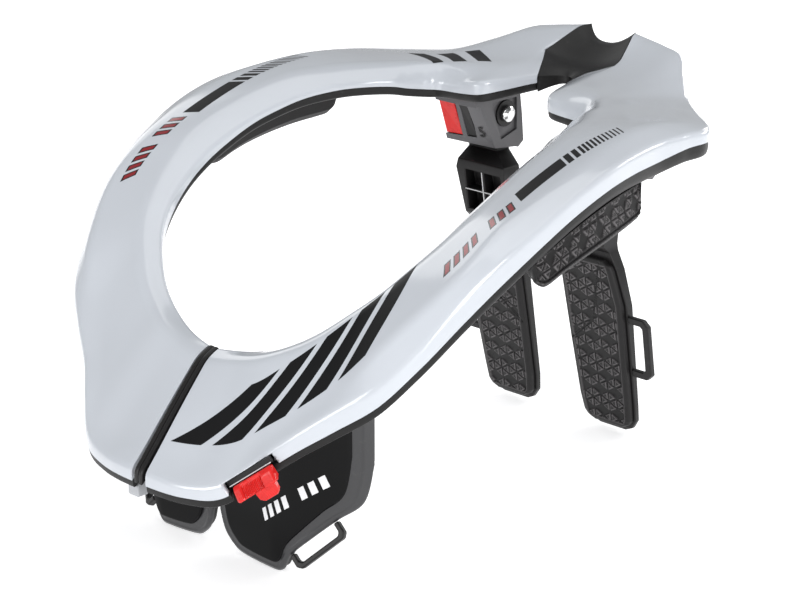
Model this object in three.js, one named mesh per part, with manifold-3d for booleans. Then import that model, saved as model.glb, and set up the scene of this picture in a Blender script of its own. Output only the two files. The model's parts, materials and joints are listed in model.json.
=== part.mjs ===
// Motocross neck brace. Two hollow shell halves ride on a dark chassis ring, split at the front and
// bridged by a saddle at the rear. A chest plate hangs under each front half, a shoulder pad under
// each arm and a back strut under each rear half.
// Millimetres. +X is the wearer's left, -Y the front, +Z up. The floor is z = 0.

import * as THREE from 'three';
import { mergeVertices } from 'three/addons/utils/BufferGeometryUtils.js';
import Module from 'manifold-3d';

const wasm = await Module();
wasm.setup();

// Driving sizes

const ringReach = 191;          // neck's centre line to the tips of the rear corners
const ringRise = 234;           // floor to the rear horns
const shellWall = 3;            // thickness of the shells
const seat = 0.3;               // gap between pieces that rest on each other
const chassisDepth = 5;         // chassis thickness at its neck side
const chassisRimFront = 6;      // chassis thickness at its outer rim, at the front
const chassisRimRear = 9;       // and at the rear
const chassisInset = 0.7;       // how far the chassis stays inside the shell's faces
const chassisRound = 2.5;       // width of the chamfer along its edges
const seamStripReach = 3.1;     // centre plane to the outer side of a front seam strip
const seamStripProud = 0.5;     // how far a seam strip stands over the shell
const saddleGap = 0.5;          // sideways gap between the saddle and the shell ends
const saddleDip = 7.5;          // depth of the saddle's valley at the rear
const saddleNotch = 6;          // how far the rear edge is drawn in between the horns
const saddleDraw = 14;          // how far its neck side is drawn back there
const saddleArch = 4;           // rise of the saddle's underside at the neck side

const chestReach = 84;          // centre plane to the outer edge of a chest plate
const chestHeight = 112;        // floor to the outer shoulder of a chest plate
const chestFront = 128.5;       // neck's centre line forward to the chest plates
const chestFlat = 42;           // how far out a chest plate stays flat
const chestBend = 55;           // divisor of the bend beyond that, (x - chestFlat) squared over it
const chestTuck = 2.5;          // how far the lower edge curls back
const chestFrameDepth = 3;
const chestPanelDepth = 1.4;
const chestPanelInset = 5.5;
const chestPadDepth = 5.6;
const chestPadInset = 1.5;

const shoulderDepth = 24;       // height of a shoulder pad's outer side
const shoulderInnerDepth = 10;  // height of its side at the neck
const shoulderInset = 6;        // how far it stays inside the chassis edges
const shoulderFlare = 6.6;      // how far the outer lower edge stands out past the upper one
const shoulderDraw = 2.5;       // how much further in its lower edges lie

const bracketIn = 35;           // centre plane to the inner face of a bracket
const bracketOut = 66.5;        // and to its outer face
const bracketCheek = 3.5;       // thickness of the two cheeks
const bracketFrontWall = 3.2;
const bracketRise = 19.9;       // bolt up to a bracket's top, before it is cut to the chassis underside
const bracketRecess = 1.5;
const windowDepth = 6;          // how deep the gauge windows are cut
const windowDrop = 14;          // bolt down to their lower edge
const windowLift = 7.5;         // and up to their upper edge
const gaugeClearance = 0.35;    // gap round a gauge wedge in its window

const boltInset = 56.3;         // ring's reach in to the bolts
const boltDrop = 47.9;          // ring's top down to the bolts
const boltBack = ringReach - boltInset;
const boltHeight = ringRise - boltDrop;
const boltDiameter = 5;
const boltHeadDiameter = 10;
const boltHeadHeight = 3.6;
const boltNutHeight = 2.6;
const boltClearance = 0.4;
const washerDiameter = 16;
const washerThickness = 1.2;

const strutDrop = 27.3;         // bolt down to the top of a strut's box
const strutTop = boltHeight - strutDrop;
const strutReach = 62;          // centre plane to the widest point of a strut
const strutLean = 0.22;         // how far the strut's face runs back for each mm down
const strutFace = 28.5;         // bolt forward to the plane of the pad's face
const strutEye = 7;             // radius of the eye round the bolt
const strutNeck = 23.3;         // bolt to the lower end of a strut's neck
const strutNeckFront = 2.7;     // its faces there, in front of the bolt and behind it
const strutNeckBack = 8;
const strutNeckPlay = 0.7;      // side play of the neck between the cheeks
const strutPadDepth = 4;
const strutPadInset = 1.6;
const pocketWall = 3;
const pocketRib = 1.6;
const pocketDepth = 10;

const loopBar = 4.5;            // width of a strap loop's bar
const loopThickness = 4;
const loopSlot = 10;            // clear width of a rear strap loop
const rearLoopLow = 45;         // heights of the rear loop's two ends
const rearLoopHigh = 84;
const frontLoopSlot = 6.4;      // clear width of a front strap loop
const frontLoopBar = 3;
const frontLoopLength = 33;

const latchLength = 30.5;       // length of the slot in the left shell's lip
const latchAngle = -69;         // degrees from +X to the middle of the slot
const latchSlope = 36.4;        // degrees that the slot climbs towards the rear
const latchBand = 3.6;          // height of the dark trim over the lever
const leverLength = 26;
const leverHeight = 8.6;
const leverShift = 1;           // lever's middle from the slot's middle
const tongueWidth = 13;
const tongueHeight = 5.6;
const tongueShift = 6;
const slotDepth = 3.4;          // how deep the slot is cut into the lip and the chassis
const slotReach = 22;           // how far down and out the slot's cut runs

const catchSide = 4.5;          // centre plane to the near side of the front catch
const catchWidth = 8;
const catchReach = 7;
const catchHeight = 7;
const catchGap = 0.9;

const roundSides = 20;

// Section tables

// A row is one station round the left half, from the front seam to the rear seam. Angles are in
// degrees: at the neck side, at the rim, and how far the middle bows forward. Lengths named r are
// shares of ringReach, lengths named z are shares of ringRise.
const ringColumns = [
  'inAngle', 'outAngle', 'bow', 'rIn', 'rCrest', 'rMid', 'rEdge', 'rRim',
  'zSill', 'zIn', 'zCrest', 'zMid', 'zEdge', 'zRim', 'zSkirt',
];
const ringRows = [
  [-88.3, -88.3, 0, 0.662, 0.709, 0.801, 0.893, 0.945, 0.462, 0.500, 0.483, 0.401, 0.314, 0.267, 0.239],
  [-80, -80, 0, 0.647, 0.704, 0.797, 0.890, 0.945, 0.468, 0.506, 0.502, 0.409, 0.308, 0.267, 0.241],
  [-73, -73, 0, 0.640, 0.707, 0.801, 0.895, 0.937, 0.483, 0.519, 0.524, 0.429, 0.329, 0.286, 0.256],
  [-67, -67, 0, 0.642, 0.703, 0.782, 0.861, 0.908, 0.509, 0.543, 0.547, 0.469, 0.387, 0.350, 0.314],
  [-61, -61, 0, 0.644, 0.705, 0.773, 0.840, 0.885, 0.543, 0.575, 0.579, 0.513, 0.442, 0.408, 0.368],
  [-54, -54, 0, 0.641, 0.700, 0.770, 0.840, 0.887, 0.585, 0.620, 0.628, 0.571, 0.509, 0.470, 0.425],
  [-47, -47, 0, 0.634, 0.690, 0.771, 0.853, 0.895, 0.630, 0.665, 0.677, 0.640, 0.598, 0.524, 0.483],
  [-40, -40, 0, 0.615, 0.672, 0.755, 0.839, 0.880, 0.679, 0.714, 0.726, 0.702, 0.673, 0.605, 0.562],
  [-32, -32, 0, 0.584, 0.641, 0.728, 0.814, 0.851, 0.732, 0.759, 0.776, 0.766, 0.750, 0.701, 0.650],
  [-24, -24, 0, 0.552, 0.609, 0.688, 0.767, 0.825, 0.774, 0.799, 0.820, 0.821, 0.816, 0.771, 0.722],
  [-15, -15, 0, 0.521, 0.578, 0.659, 0.740, 0.800, 0.810, 0.831, 0.857, 0.860, 0.858, 0.827, 0.784],
  [-6, -6, 0, 0.497, 0.555, 0.637, 0.719, 0.782, 0.840, 0.856, 0.885, 0.891, 0.891, 0.872, 0.830],
  [4, 4, 0, 0.483, 0.540, 0.623, 0.706, 0.772, 0.861, 0.875, 0.910, 0.917, 0.919, 0.902, 0.861],
  [14, 14, 0, 0.480, 0.538, 0.620, 0.703, 0.771, 0.877, 0.890, 0.927, 0.934, 0.936, 0.914, 0.872],
  [24, 24, 0, 0.479, 0.537, 0.629, 0.721, 0.796, 0.887, 0.901, 0.933, 0.941, 0.944, 0.917, 0.876],
  [33, 31.5, 0, 0.490, 0.547, 0.653, 0.759, 0.848, 0.890, 0.903, 0.935, 0.940, 0.940, 0.916, 0.885],
  [46, 38, 0, 0.516, 0.568, 0.696, 0.822, 0.903, 0.887, 0.902, 0.934, 0.934, 0.928, 0.913, 0.885],
  [52, 49, 0, 0.542, 0.589, 0.702, 0.819, 0.887, 0.878, 0.895, 0.932, 0.932, 0.924, 0.915, 0.882],
  [57, 59, 0, 0.573, 0.610, 0.717, 0.830, 0.903, 0.871, 0.891, 0.931, 0.929, 0.925, 0.917, 0.882],
  [61, 66.7, 0, 0.589, 0.620, 0.743, 0.877, 0.946, 0.868, 0.890, 0.929, 0.931, 0.942, 0.944, 0.902],
  [68.5, 73, 0, 0.560, 0.626, 0.780, 0.937, 1.000, 0.870, 0.895, 0.929, 0.934, 0.970, 0.974, 0.927],
  [75.6, 77.5, 0, 0.548, 0.654, 0.804, 0.953, 1.000, 0.875, 0.906, 0.927, 0.937, 0.983, 0.985, 0.938],
  [80.5, 81.5, 1.5, 0.602, 0.702, 0.827, 0.958, 0.995, 0.882, 0.908, 0.927, 0.941, 0.991, 0.993, 0.944],
  [85.2, 84.8, 4.8, 0.706, 0.756, 0.848, 0.958, 0.991, 0.891, 0.908, 0.927, 0.944, 0.998, 1.000, 0.951],
];
const ringEnd = ringRows.length - 1;
const ringStep = 0.5;

// Lower outline of a chest plate: share of chestReach sideways, share of chestHeight up, and the
// share of chestHeight that the top edge may reach there.
const chestRows = [
  [0.030, 0.240, 1.00],
  [0.070, 0.140, 1.00],
  [0.140, 0.080, 1.00],
  [0.226, 0.049, 1.00],
  [0.464, 0.035, 1.00],
  [0.565, 0.047, 1.00],
  [0.632, 0.134, 1.00],
  [0.748, 0.226, 1.00],
  [0.864, 0.318, 1.00],
  [0.965, 0.400, 0.98],
  [1.000, 0.580, 0.92],
];
const chestLevels = [0, 0.12, 0.5, 0.85, 1];

// Shoulder pad sections: degrees round the ring at the neck side and at the rim, and the share of
// its full depth there.
const shoulderRows = [
  [-16, -16, 0.50], [-13.5, -13.5, 0.80], [-8, -9, 0.87], [0, -3, 0.92], [9, 4, 0.95],
  [17, 10.5, 0.93], [24, 15.5, 0.88], [27, 18, 0.80], [28.5, 19.5, 0.45],
];

// Strut sections from the tip up. Height is a share of strutTop, front and back are mm behind the
// pad's plane, and the two sides are shares of strutReach.
const strutColumns = ['height', 'front', 'back', 'xIn', 'xOut'];
const strutRows = [
  [0.036, 5.2, 7.0, 0.47, 0.77],
  [0.054, 4.3, 7.7, 0.38, 0.87],
  [0.090, 4.3, 8.0, 0.31, 0.93],
  [0.155, 4.3, 8.2, 0.285, 0.945],
  [0.382, 4.3, 9.0, 0.265, 0.975],
  [0.567, 4.3, 10.0, 0.255, 1.000],
  [0.704, 4.3, 11.5, 0.250, 0.940],
  [0.770, 4.3, 12.5, 0.270, 0.875],
  [0.794, 0.5, 13.5, 0.295, 0.860],
  [0.967, 2.5, 17.0, 0.315, 0.930],
  [1.000, 4.5, 18.5, 0.330, 0.920],
];
const strutPadRows = [0.054, 0.072, 0.113, 0.191, 0.382, 0.567, 0.686, 0.740];

// Points and rows

const radians = THREE.MathUtils.degToRad;
const lerp = THREE.MathUtils.lerp;
const vec = (x, y, z) => new THREE.Vector3(x, y, z);

function spline(a, b, c, d, u) {
  const cubic = 3 * b - a - 3 * c + d;
  const square = 2 * a - 5 * b + 4 * c - d;
  return 0.5 * (2 * b + (c - a) * u + square * u * u + cubic * u * u * u);
}

// The ring's station at a place between two rows of the table, in millimetres and degrees.
function ringRow(place) {
  const low = Math.min(Math.floor(place), ringEnd - 1);
  const pick = (k) => ringRows[THREE.MathUtils.clamp(k, 0, ringEnd)];
  const row = { share: place / ringEnd };
  ringColumns.forEach((name, c) => {
    const value = spline(pick(low - 1)[c], pick(low)[c], pick(low + 1)[c], pick(low + 2)[c], place - low);
    const unit = { r: ringReach, z: ringRise }[name[0]] ?? 1;
    row[name] = value * unit;
  });
  return row;
}

function rowAtAngle(angle) {
  let low = 0;
  let high = ringEnd;
  for (let i = 0; i < 30; i += 1) {
    const middle = (low + high) / 2;
    if (ringRow(middle).inAngle < angle) low = middle;
    else high = middle;
  }
  return ringRow(low);
}

function ringPoint(row, r, z) {
  const share = (r - row.rIn) / (row.rRim - row.rIn);
  const knee = r < row.rMid ? (r - row.rIn) / (row.rMid - row.rIn) : (row.rRim - r) / (row.rRim - row.rMid);
  const angle = radians(lerp(row.inAngle, row.outAngle, share) - row.bow * knee);
  return vec(r * Math.cos(angle), r * Math.sin(angle), z);
}

function ringStations() {
  const count = ringEnd / ringStep + 1;
  return Array.from({ length: count }, (_, i) => ringRow(i * ringStep));
}

// Solids

function toSolid(geometry) {
  const bare = geometry.clone();
  bare.deleteAttribute('normal');
  bare.deleteAttribute('uv');
  const merged = mergeVertices(bare, 1e-4);
  const mesh = new wasm.Mesh({
    numProp: 3,
    vertProperties: merged.attributes.position.array,
    triVerts: new Uint32Array(merged.index.array),
  });
  return new wasm.Manifold(mesh);
}

function toGeometry(solid) {
  const mesh = solid.getMesh();
  const geometry = new THREE.BufferGeometry();
  geometry.setAttribute('position', new THREE.BufferAttribute(mesh.vertProperties, 3));
  geometry.setIndex(new THREE.BufferAttribute(mesh.triVerts, 1));
  return geometry;
}

function flipped(index) {
  const turned = [];
  for (let i = 0; i < index.length; i += 3) turned.push(index[i], index[i + 2], index[i + 1]);
  return turned;
}

function signedVolume(positions, index) {
  const corner = (k) => vec(positions[3 * k], positions[3 * k + 1], positions[3 * k + 2]);
  let volume = 0;
  for (let i = 0; i < index.length; i += 3) {
    const a = corner(index[i]);
    volume += a.dot(corner(index[i + 1]).cross(corner(index[i + 2])));
  }
  return volume;
}

// A closed body between two grids of points with the same rows and columns.
function slab(front, back) {
  const rows = front.length;
  const columns = front[0].length;
  const positions = [front, back].flat(2).flatMap((p) => [p.x, p.y, p.z]);
  const at = (side, i, j) => (side * rows + i) * columns + j;
  const index = [];
  const quad = (a, b, c, d) => index.push(a, b, c, a, c, d);
  for (let i = 0; i < rows - 1; i += 1) {
    for (let j = 0; j < columns - 1; j += 1) {
      quad(at(0, i, j), at(0, i, j + 1), at(0, i + 1, j + 1), at(0, i + 1, j));
      quad(at(1, i, j), at(1, i + 1, j), at(1, i + 1, j + 1), at(1, i, j + 1));
    }
    const end = columns - 1;
    quad(at(0, i, 0), at(0, i + 1, 0), at(1, i + 1, 0), at(1, i, 0));
    quad(at(0, i + 1, end), at(0, i, end), at(1, i, end), at(1, i + 1, end));
  }
  for (let j = 0; j < columns - 1; j += 1) {
    const end = rows - 1;
    quad(at(0, 0, j + 1), at(0, 0, j), at(1, 0, j), at(1, 0, j + 1));
    quad(at(0, end, j), at(0, end, j + 1), at(1, end, j + 1), at(1, end, j));
  }
  const geometry = new THREE.BufferGeometry();
  geometry.setAttribute('position', new THREE.Float32BufferAttribute(positions, 3));
  geometry.setIndex(signedVolume(positions, index) > 0 ? index : flipped(index));
  return geometry;
}

function outline(points) {
  return new THREE.Shape(points.map(([u, v]) => new THREE.Vector2(u, v)));
}

// A prism along X whose outline is drawn in Y and Z.
function prismX(points, from, to) {
  const geometry = new THREE.ExtrudeGeometry(outline(points), { depth: to - from, bevelEnabled: false });
  const turn = new THREE.Matrix4().makeBasis(vec(0, 1, 0), vec(0, 0, 1), vec(1, 0, 0));
  return geometry.applyMatrix4(turn.setPosition(from, 0, 0));
}

// A round body about an axis along X, from a profile of [x, radius].
function roundX(profile, y, z) {
  const points = profile.map(([x, r]) => new THREE.Vector2(r, x));
  const geometry = new THREE.LatheGeometry(points, roundSides);
  const turn = new THREE.Matrix4().makeBasis(vec(0, -1, 0), vec(1, 0, 0), vec(0, 0, 1));
  return geometry.applyMatrix4(turn.setPosition(0, y, z));
}

function mirrored(geometry) {
  const copy = geometry.clone();
  copy.deleteAttribute('normal');
  const bare = copy.index ? copy : mergeVertices(copy, 1e-4);
  bare.scale(-1, 1, 1);
  bare.setIndex(flipped(Array.from(bare.index.array)));
  return bare;
}

function cut(geometry, ...tools) {
  return toGeometry(tools.reduce((solid, tool) => solid.subtract(toSolid(tool)), toSolid(geometry)));
}

function joined(first, ...others) {
  return toGeometry(others.reduce((solid, other) => solid.add(toSolid(other)), toSolid(first)));
}

function largestPiece(geometry) {
  const pieces = toSolid(geometry).decompose();
  return toGeometry(pieces.reduce((best, piece) => (piece.volume() > best.volume() ? piece : best)));
}

// Materials

const finish = (color, roughness, metalness = 0) => () => new THREE.MeshStandardMaterial({ color, roughness, metalness });
const shellFinish = finish(0xd9dce2, 0.2);
const chassisFinish = finish(0x2b2829, 0.55);
const darkFinish = finish(0x232122, 0.6);
const glossFinish = finish(0x0c0c0e, 0.12);
const padFinish = finish(0x29272a, 0.8);
const greyFinish = finish(0x8a888b, 0.5);
const redFinish = finish(0xc8101e, 0.3);
const steelFinish = finish(0xd0d0d0, 0.2, 1);
const tabFinish = finish(0xb9bbbf, 0.4);

// Shell section: outer line and inner line, with the same r at every crease

// The straight line from sill to skirt, on which the shell meets the chassis.
function seatLine(row, r) {
  return lerp(row.zSill, row.zSkirt, (r - row.rIn) / (row.rRim - row.rIn));
}

function shellOuter(row) {
  return [
    [row.rIn, row.zSill], [row.rIn, row.zIn], [row.rCrest, row.zCrest], [row.rMid, row.zMid],
    [row.rEdge, row.zEdge], [row.rRim, row.zRim], [row.rRim, row.zSkirt],
  ];
}

function shellInner(row) {
  const outer = shellOuter(row);
  const slope = (k) => (outer[k + 1][1] - outer[k][1]) / (outer[k + 1][0] - outer[k][0]);
  const drop = (k) => shellWall * Math.hypot(1, slope(k));
  const under = (k) => [outer[k][0], outer[k][1] - Math.max(drop(k - 1), drop(k))];
  return [
    [row.rIn + shellWall, seatLine(row, row.rIn + shellWall)],
    [row.rIn + shellWall, row.zIn + slope(1) * shellWall - drop(1)],
    under(2),
    under(3),
    under(4),
    [row.rRim - shellWall, row.zRim - slope(4) * shellWall - drop(4)],
    [row.rRim - shellWall, seatLine(row, row.rRim - shellWall)],
  ];
}

function shellHalf() {
  const grid = (section) => ringStations().map((row) => section(row).map(([r, z]) => ringPoint(row, r, z)));
  return slab(grid(shellOuter), grid(shellInner));
}

function seamStrip() {
  const row = ringRow(0);
  const line = (section, x, lift) => section(row).map(([r, z]) => vec(x, -r, z + lift));
  const sides = [seat / 2, seamStripReach];
  return slab(
    sides.map((x) => line(shellOuter, x, seamStripProud)),
    sides.map((x) => line(shellInner, x, 0)),
  );
}

// Chassis

function chassisTop(row, r) {
  return seatLine(row, r) - seat;
}

function chassisThickness(row, r) {
  const rim = lerp(chassisRimFront, chassisRimRear, row.share);
  return lerp(chassisDepth, rim, (r - row.rIn) / (row.rRim - row.rIn));
}

function chassisUnder(row, r) {
  return chassisTop(row, r) - chassisThickness(row, r);
}

// grow widens it all round, for the clearance of what is cut to fit it.
function chassisHalf(grow = 0) {
  const inset = chassisInset - grow;
  const top = [];
  const bottom = [];
  for (const row of ringStations()) {
    const stops = [
      [row.rIn + inset, 0.5], [row.rIn + inset + chassisRound, 1], [row.rCrest, 1], [row.rMid, 1],
      [row.rEdge, 1], [row.rRim - inset - chassisRound, 1], [row.rRim - inset, 0.5],
    ];
    top.push(stops.map(([r]) => ringPoint(row, r, chassisTop(row, r) + 1.5 * grow)));
    bottom.push(stops.map(([r, share]) => {
      const depth = chassisThickness(row, r) * share;
      return ringPoint(row, r, chassisTop(row, r) - depth - 1.5 * grow);
    }));
  }
  return slab(top, bottom);
}

// Saddle: the seam's section carried across to the other side, sinking towards the middle. Dips are
// shares of saddleDip and the last column the share of saddleNotch.
const saddleSpan = [-1, -0.8, -0.55, -0.28, 0, 0.28, 0.55, 0.8, 1];

function saddle() {
  const row = ringRow(ringEnd);
  const columns = [
    [row.rIn, row.zIn, 0.10, 0], [row.rCrest, row.zCrest, 0.25, 0], [row.rMid, row.zMid, 0.55, 0.1],
    [row.rEdge, row.zEdge, 0.95, 0.9], [row.rRim, row.zRim, 1, 1],
  ];
  const place = (u, [r, z, dip, notch], under) => {
    const seam = ringPoint(row, r, z);
    const sag = 1 - u * u;
    const archShare = 1 - (r - row.rIn) / (row.rRim - row.rIn);
    const y = seam.y + (saddleDraw * archShare ** 2 - saddleNotch * notch) * sag;
    const low = chassisUnder(row, r) + saddleArch * archShare * sag;
    const high = z - saddleDip * dip * sag;
    return vec((seam.x - saddleGap) * u, y, under ? low : high);
  };
  const grid = (under) => saddleSpan.map((u) => columns.map((column) => place(u, column, under)));
  return slab(grid(false), grid(true));
}

// Latch on the left shell's lip. Its frame: along the slot, down the lip's face, and outwards.
const latchStation = rowAtAngle(latchAngle);
const latchOut = vec(Math.cos(radians(latchAngle)), Math.sin(radians(latchAngle)), 0);
const latchAround = vec(-latchOut.y, latchOut.x, 0);
const latchAlong = latchAround.clone().multiplyScalar(Math.cos(radians(latchSlope)))
  .add(vec(0, 0, Math.sin(radians(latchSlope))));
const latchDown = latchAlong.clone().cross(latchOut);
const latchFrame = new THREE.Matrix4().makeBasis(latchOut, latchDown, latchAlong)
  .setPosition(ringPoint(latchStation, latchStation.rRim, latchStation.zRim));

// A prism along the slot whose outline is drawn in [down, out], between two places along it.
function latchPrism(points, from, to) {
  const turned = outline(points.map(([down, out]) => [out, down]));
  const geometry = new THREE.ExtrudeGeometry(turned, { depth: to - from, bevelEnabled: false });
  return geometry.translate(0, 0, from).applyMatrix4(latchFrame);
}

// The cut for the slot: early is how far above the slot's top edge it starts, depth how deep it is.
function slotCut(early, depth) {
  const half = latchLength / 2;
  return latchPrism([[-early, -depth], [slotReach, -depth], [slotReach, slotReach], [-early, slotReach]], -half, half);
}

function latchTrim() {
  const half = latchLength / 2 - seat;
  const back = seat - slotDepth;
  return latchPrism([[seat, back], [latchBand, back], [latchBand, -1.2], [seat, -0.8]], -half, half);
}

// Lever and tongue outlines, in mm down from the trim and out from the lip's face.
const leverTop = latchBand + 0.5;
const leverLow = leverTop + leverHeight;
const leverLine = [
  [leverTop, -2.4], [leverTop, 0.6], [leverTop + 2, 2.2], [leverLow - 1, 4.2], [leverLow, 3.8],
  [leverLow, 0.8], [leverLow - 2.5, -2.4],
];
const tongueLine = [
  [leverLow - 0.6, 1], [leverLow - 0.6, 3.6], [leverLow + tongueHeight, 3.4], [leverLow + tongueHeight, 1.4],
];

function latchLever() {
  const ends = (middle, width) => [middle - width / 2, middle + width / 2];
  const bar = latchPrism(leverLine, ...ends(leverShift, leverLength));
  return joined(bar, latchPrism(tongueLine, ...ends(tongueShift, tongueWidth)));
}

// Chest plates

function chestSurface(x, z) {
  const curl = Math.max(0, 1 - z / (chestHeight / 4));
  const bent = Math.max(0, x - chestFlat);
  return -chestFront + (bent * bent) / chestBend + chestTuck * curl * curl;
}

function chestUnder(x, depth) {
  const y = chestSurface(x, chestHeight) + depth;
  const row = rowAtAngle(THREE.MathUtils.radToDeg(Math.atan2(y, x)));
  const r = Math.max(Math.hypot(x, y), row.rIn);
  return chassisUnder(row, r) - seat * 1.5;
}

// One layer of the plate: from and to are depths behind its face, inset draws its outline in.
function chestLayer(from, to, inset) {
  const xLow = chestRows[0][0] * chestReach + inset;
  const xHigh = chestReach - inset;
  const front = [];
  const back = [];
  for (const level of chestLevels) {
    const line = chestRows.map(([across, up, reach]) => {
      const share = (across - chestRows[0][0]) / (1 - chestRows[0][0]);
      const x = lerp(xLow, xHigh, share);
      const bottom = up * chestHeight + inset;
      const top = Math.min(chestUnder(x, from), reach * chestHeight) - inset / 2;
      return [x, lerp(bottom, top, level)];
    });
    front.push(line.map(([x, z]) => vec(x, chestSurface(x, z) + from, z)));
    back.push(line.map(([x, z]) => vec(x, chestSurface(x, z) + to, z)));
  }
  return slab(front, back);
}

// A U-shaped bar in its own plane: feet at the origin's line, slot clear of them.
function loopShape(length, slot, bar) {
  const out = slot + bar;
  const corner = bar * 0.8;
  return outline([
    [0, 0], [0, bar], [slot - 1.5, bar], [slot, bar + 1.5], [slot, length - bar - 1.5],
    [slot - 1.5, length - bar], [0, length - bar], [0, length], [out - corner, length],
    [out, length - corner], [out, corner], [out - corner, 0],
  ]);
}

function frontLoop() {
  const [x0, z0] = [chestRows[6][0] * chestReach, chestRows[6][1] * chestHeight];
  const [x1, z1] = [chestRows[8][0] * chestReach, chestRows[8][1] * chestHeight];
  const y0 = chestSurface(x0, z0);
  const y1 = chestSurface(x1, z1);
  const along = vec(x1 - x0, y1 - y0, z1 - z0).normalize();
  const away = vec(z1 - z0, 0, x0 - x1).normalize();
  away.addScaledVector(along, -away.dot(along)).normalize();
  const through = away.clone().cross(along);
  const middle = vec((x0 + x1) / 2, (y0 + y1) / 2, (z0 + z1) / 2);
  const start = middle.addScaledVector(along, -frontLoopLength / 2)
    .addScaledVector(away, seat * 1.5).addScaledVector(through, -loopThickness / 2)
    .add(vec(0, chestFrameDepth / 2, 0));
  const frame = new THREE.Matrix4().makeBasis(away, along, through).setPosition(start);
  const shape = loopShape(frontLoopLength, frontLoopSlot, frontLoopBar);
  return new THREE.ExtrudeGeometry(shape, { depth: loopThickness, bevelEnabled: false }).applyMatrix4(frame);
}

// Shoulder pads

function shoulderPad() {
  const stops = [0, 0.08, 0.5, 0.93, 1];
  const depths = [0.7, 1, 1, 1, 0.8];
  const place = ([angleIn, angleOut, share], s, k, under) => {
    const row = rowAtAngle(lerp(angleIn, angleOut, s));
    const draw = under ? shoulderDraw : 0;
    const flare = under ? shoulderFlare * share : 0;
    const outer = row.rRim - shoulderInset;
    const r = lerp(row.rIn + shoulderInset + draw, outer + flare, s);
    const depth = under ? lerp(shoulderInnerDepth, shoulderDepth, s) * depths[k] * share : 0;
    return ringPoint(row, r, chassisUnder(row, Math.min(r, outer)) - seat - depth);
  };
  const grid = (under) => shoulderRows.map((section) => stops.map((s, k) => place(section, s, k, under)));
  return slab(grid(false), grid(true));
}

// Brackets: corners of the front wall at its inner and outer side, and the cheeks' outline, all
// measured from the bolt.

const bracketLowIn = [-9.2, -19.5];
const bracketLowOut = [-17, -17.5];
const bracketHighIn = [-28.8, bracketRise];
const bracketHighOut = [-29.5, bracketRise];
const cheekLine = [
  bracketHighIn, bracketLowIn, [8, -21.5], [11, -22.3], [15.5, -19], [14, -2.8], [10.7, bracketRise],
];
const recessLine = [[-13, 8.4], [9, 8.4], [9.5, -11], [-4, -15]];
const roofLine = [
  [-27, strutEye + 0.8], [11, strutEye + 0.8], [11, bracketRise], [-27, bracketRise],
];

// The front wall's face at an x and z, and how far behind it a piece stands.
function bracketFace(x, z, behind) {
  const share = (x - bracketIn) / (bracketOut - bracketIn);
  const low = [lerp(bracketLowIn[0], bracketLowOut[0], share), lerp(bracketLowIn[1], bracketLowOut[1], share)];
  const high = [lerp(bracketHighIn[0], bracketHighOut[0], share), lerp(bracketHighIn[1], bracketHighOut[1], share)];
  const up = (z - boltHeight - low[1]) / (high[1] - low[1]);
  return vec(x, boltBack + lerp(low[0], high[0], up) + behind, z);
}

// A plate parallel to the front wall, between two x, two z and two depths behind its face.
function facePlate(x0, x1, z0, z1, from, to) {
  const grid = (behind) => [z0, z1].map((z) => [x0, x1].map((x) => bracketFace(x, z, behind)));
  return slab(grid(from), grid(to));
}

const windowLow = boltHeight - windowDrop;
const windowHigh = boltHeight + windowLift;
const blackWindow = [45.7, 52.1];
const redWindow = [55, bracketOut];

// A round cutting tool along X for the bolt's clearance hole, past both sides of a piece.
function boltBore(from, to) {
  const hole = boltDiameter / 2 + boltClearance;
  return roundX([[from - 5, 0], [from - 5, hole], [to + 5, hole], [to + 5, 0]], boltBack, boltHeight);
}

function bracket() {
  const side = (line, from, to) => prismX(line.map(([y, z]) => [boltBack + y, boltHeight + z]), from, to);
  const wall = (behind) => [[bracketLowIn, bracketLowOut], [bracketHighIn, bracketHighOut]].map((pair) =>
    pair.map(([y, z], k) => vec([bracketIn, bracketOut][k], boltBack + y + behind, boltHeight + z)));
  const body = joined(
    side(cheekLine, bracketIn, bracketIn + bracketCheek),
    side(cheekLine, bracketOut - bracketCheek, bracketOut),
    side(roofLine, bracketIn, bracketOut),
    slab(wall(0), wall(bracketFrontWall)),
  );
  return largestPiece(cut(
    body,
    side(recessLine, bracketIn - 1, bracketIn + bracketRecess),
    boltBore(bracketIn, bracketOut),
    facePlate(blackWindow[0], blackWindow[1], windowLow, windowHigh, -1, windowDepth),
    facePlate(redWindow[0], redWindow[1] + 1, windowLow, windowHigh, -1, windowDepth),
    chassisHalf(seat),
  ));
}

function gauge([x0, x1], recessed) {
  const c = gaugeClearance;
  return facePlate(x0 + c, x1 - c, windowLow + c, windowHigh - c, recessed, windowDepth - c);
}

function bolt() {
  const headFace = bracketIn - seat;
  const shaft = boltDiameter / 2;
  const head = boltHeadDiameter / 2;
  const nutFace = bracketOut + seat;
  return roundX([
    [headFace - boltHeadHeight, 0], [headFace - boltHeadHeight, head * 0.55], [headFace - boltHeadHeight * 0.6, head],
    [headFace, head], [headFace, shaft], [nutFace, shaft], [nutFace, head * 0.9],
    [nutFace + boltNutHeight, head * 0.8], [nutFace + boltNutHeight, 0],
  ], boltBack, boltHeight);
}

function washer() {
  const x0 = bracketIn + bracketRecess - seat - washerThickness;
  const x1 = x0 + washerThickness;
  const hole = boltDiameter / 2 + boltClearance;
  const rim = washerDiameter / 2;
  return roundX([[x0, hole], [x0, rim], [x1, rim], [x1, hole], [x0, hole]], boltBack, boltHeight);
}

// Struts

function strutPlane(z) {
  return boltBack - strutFace + strutLean * (boltHeight - z);
}

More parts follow.
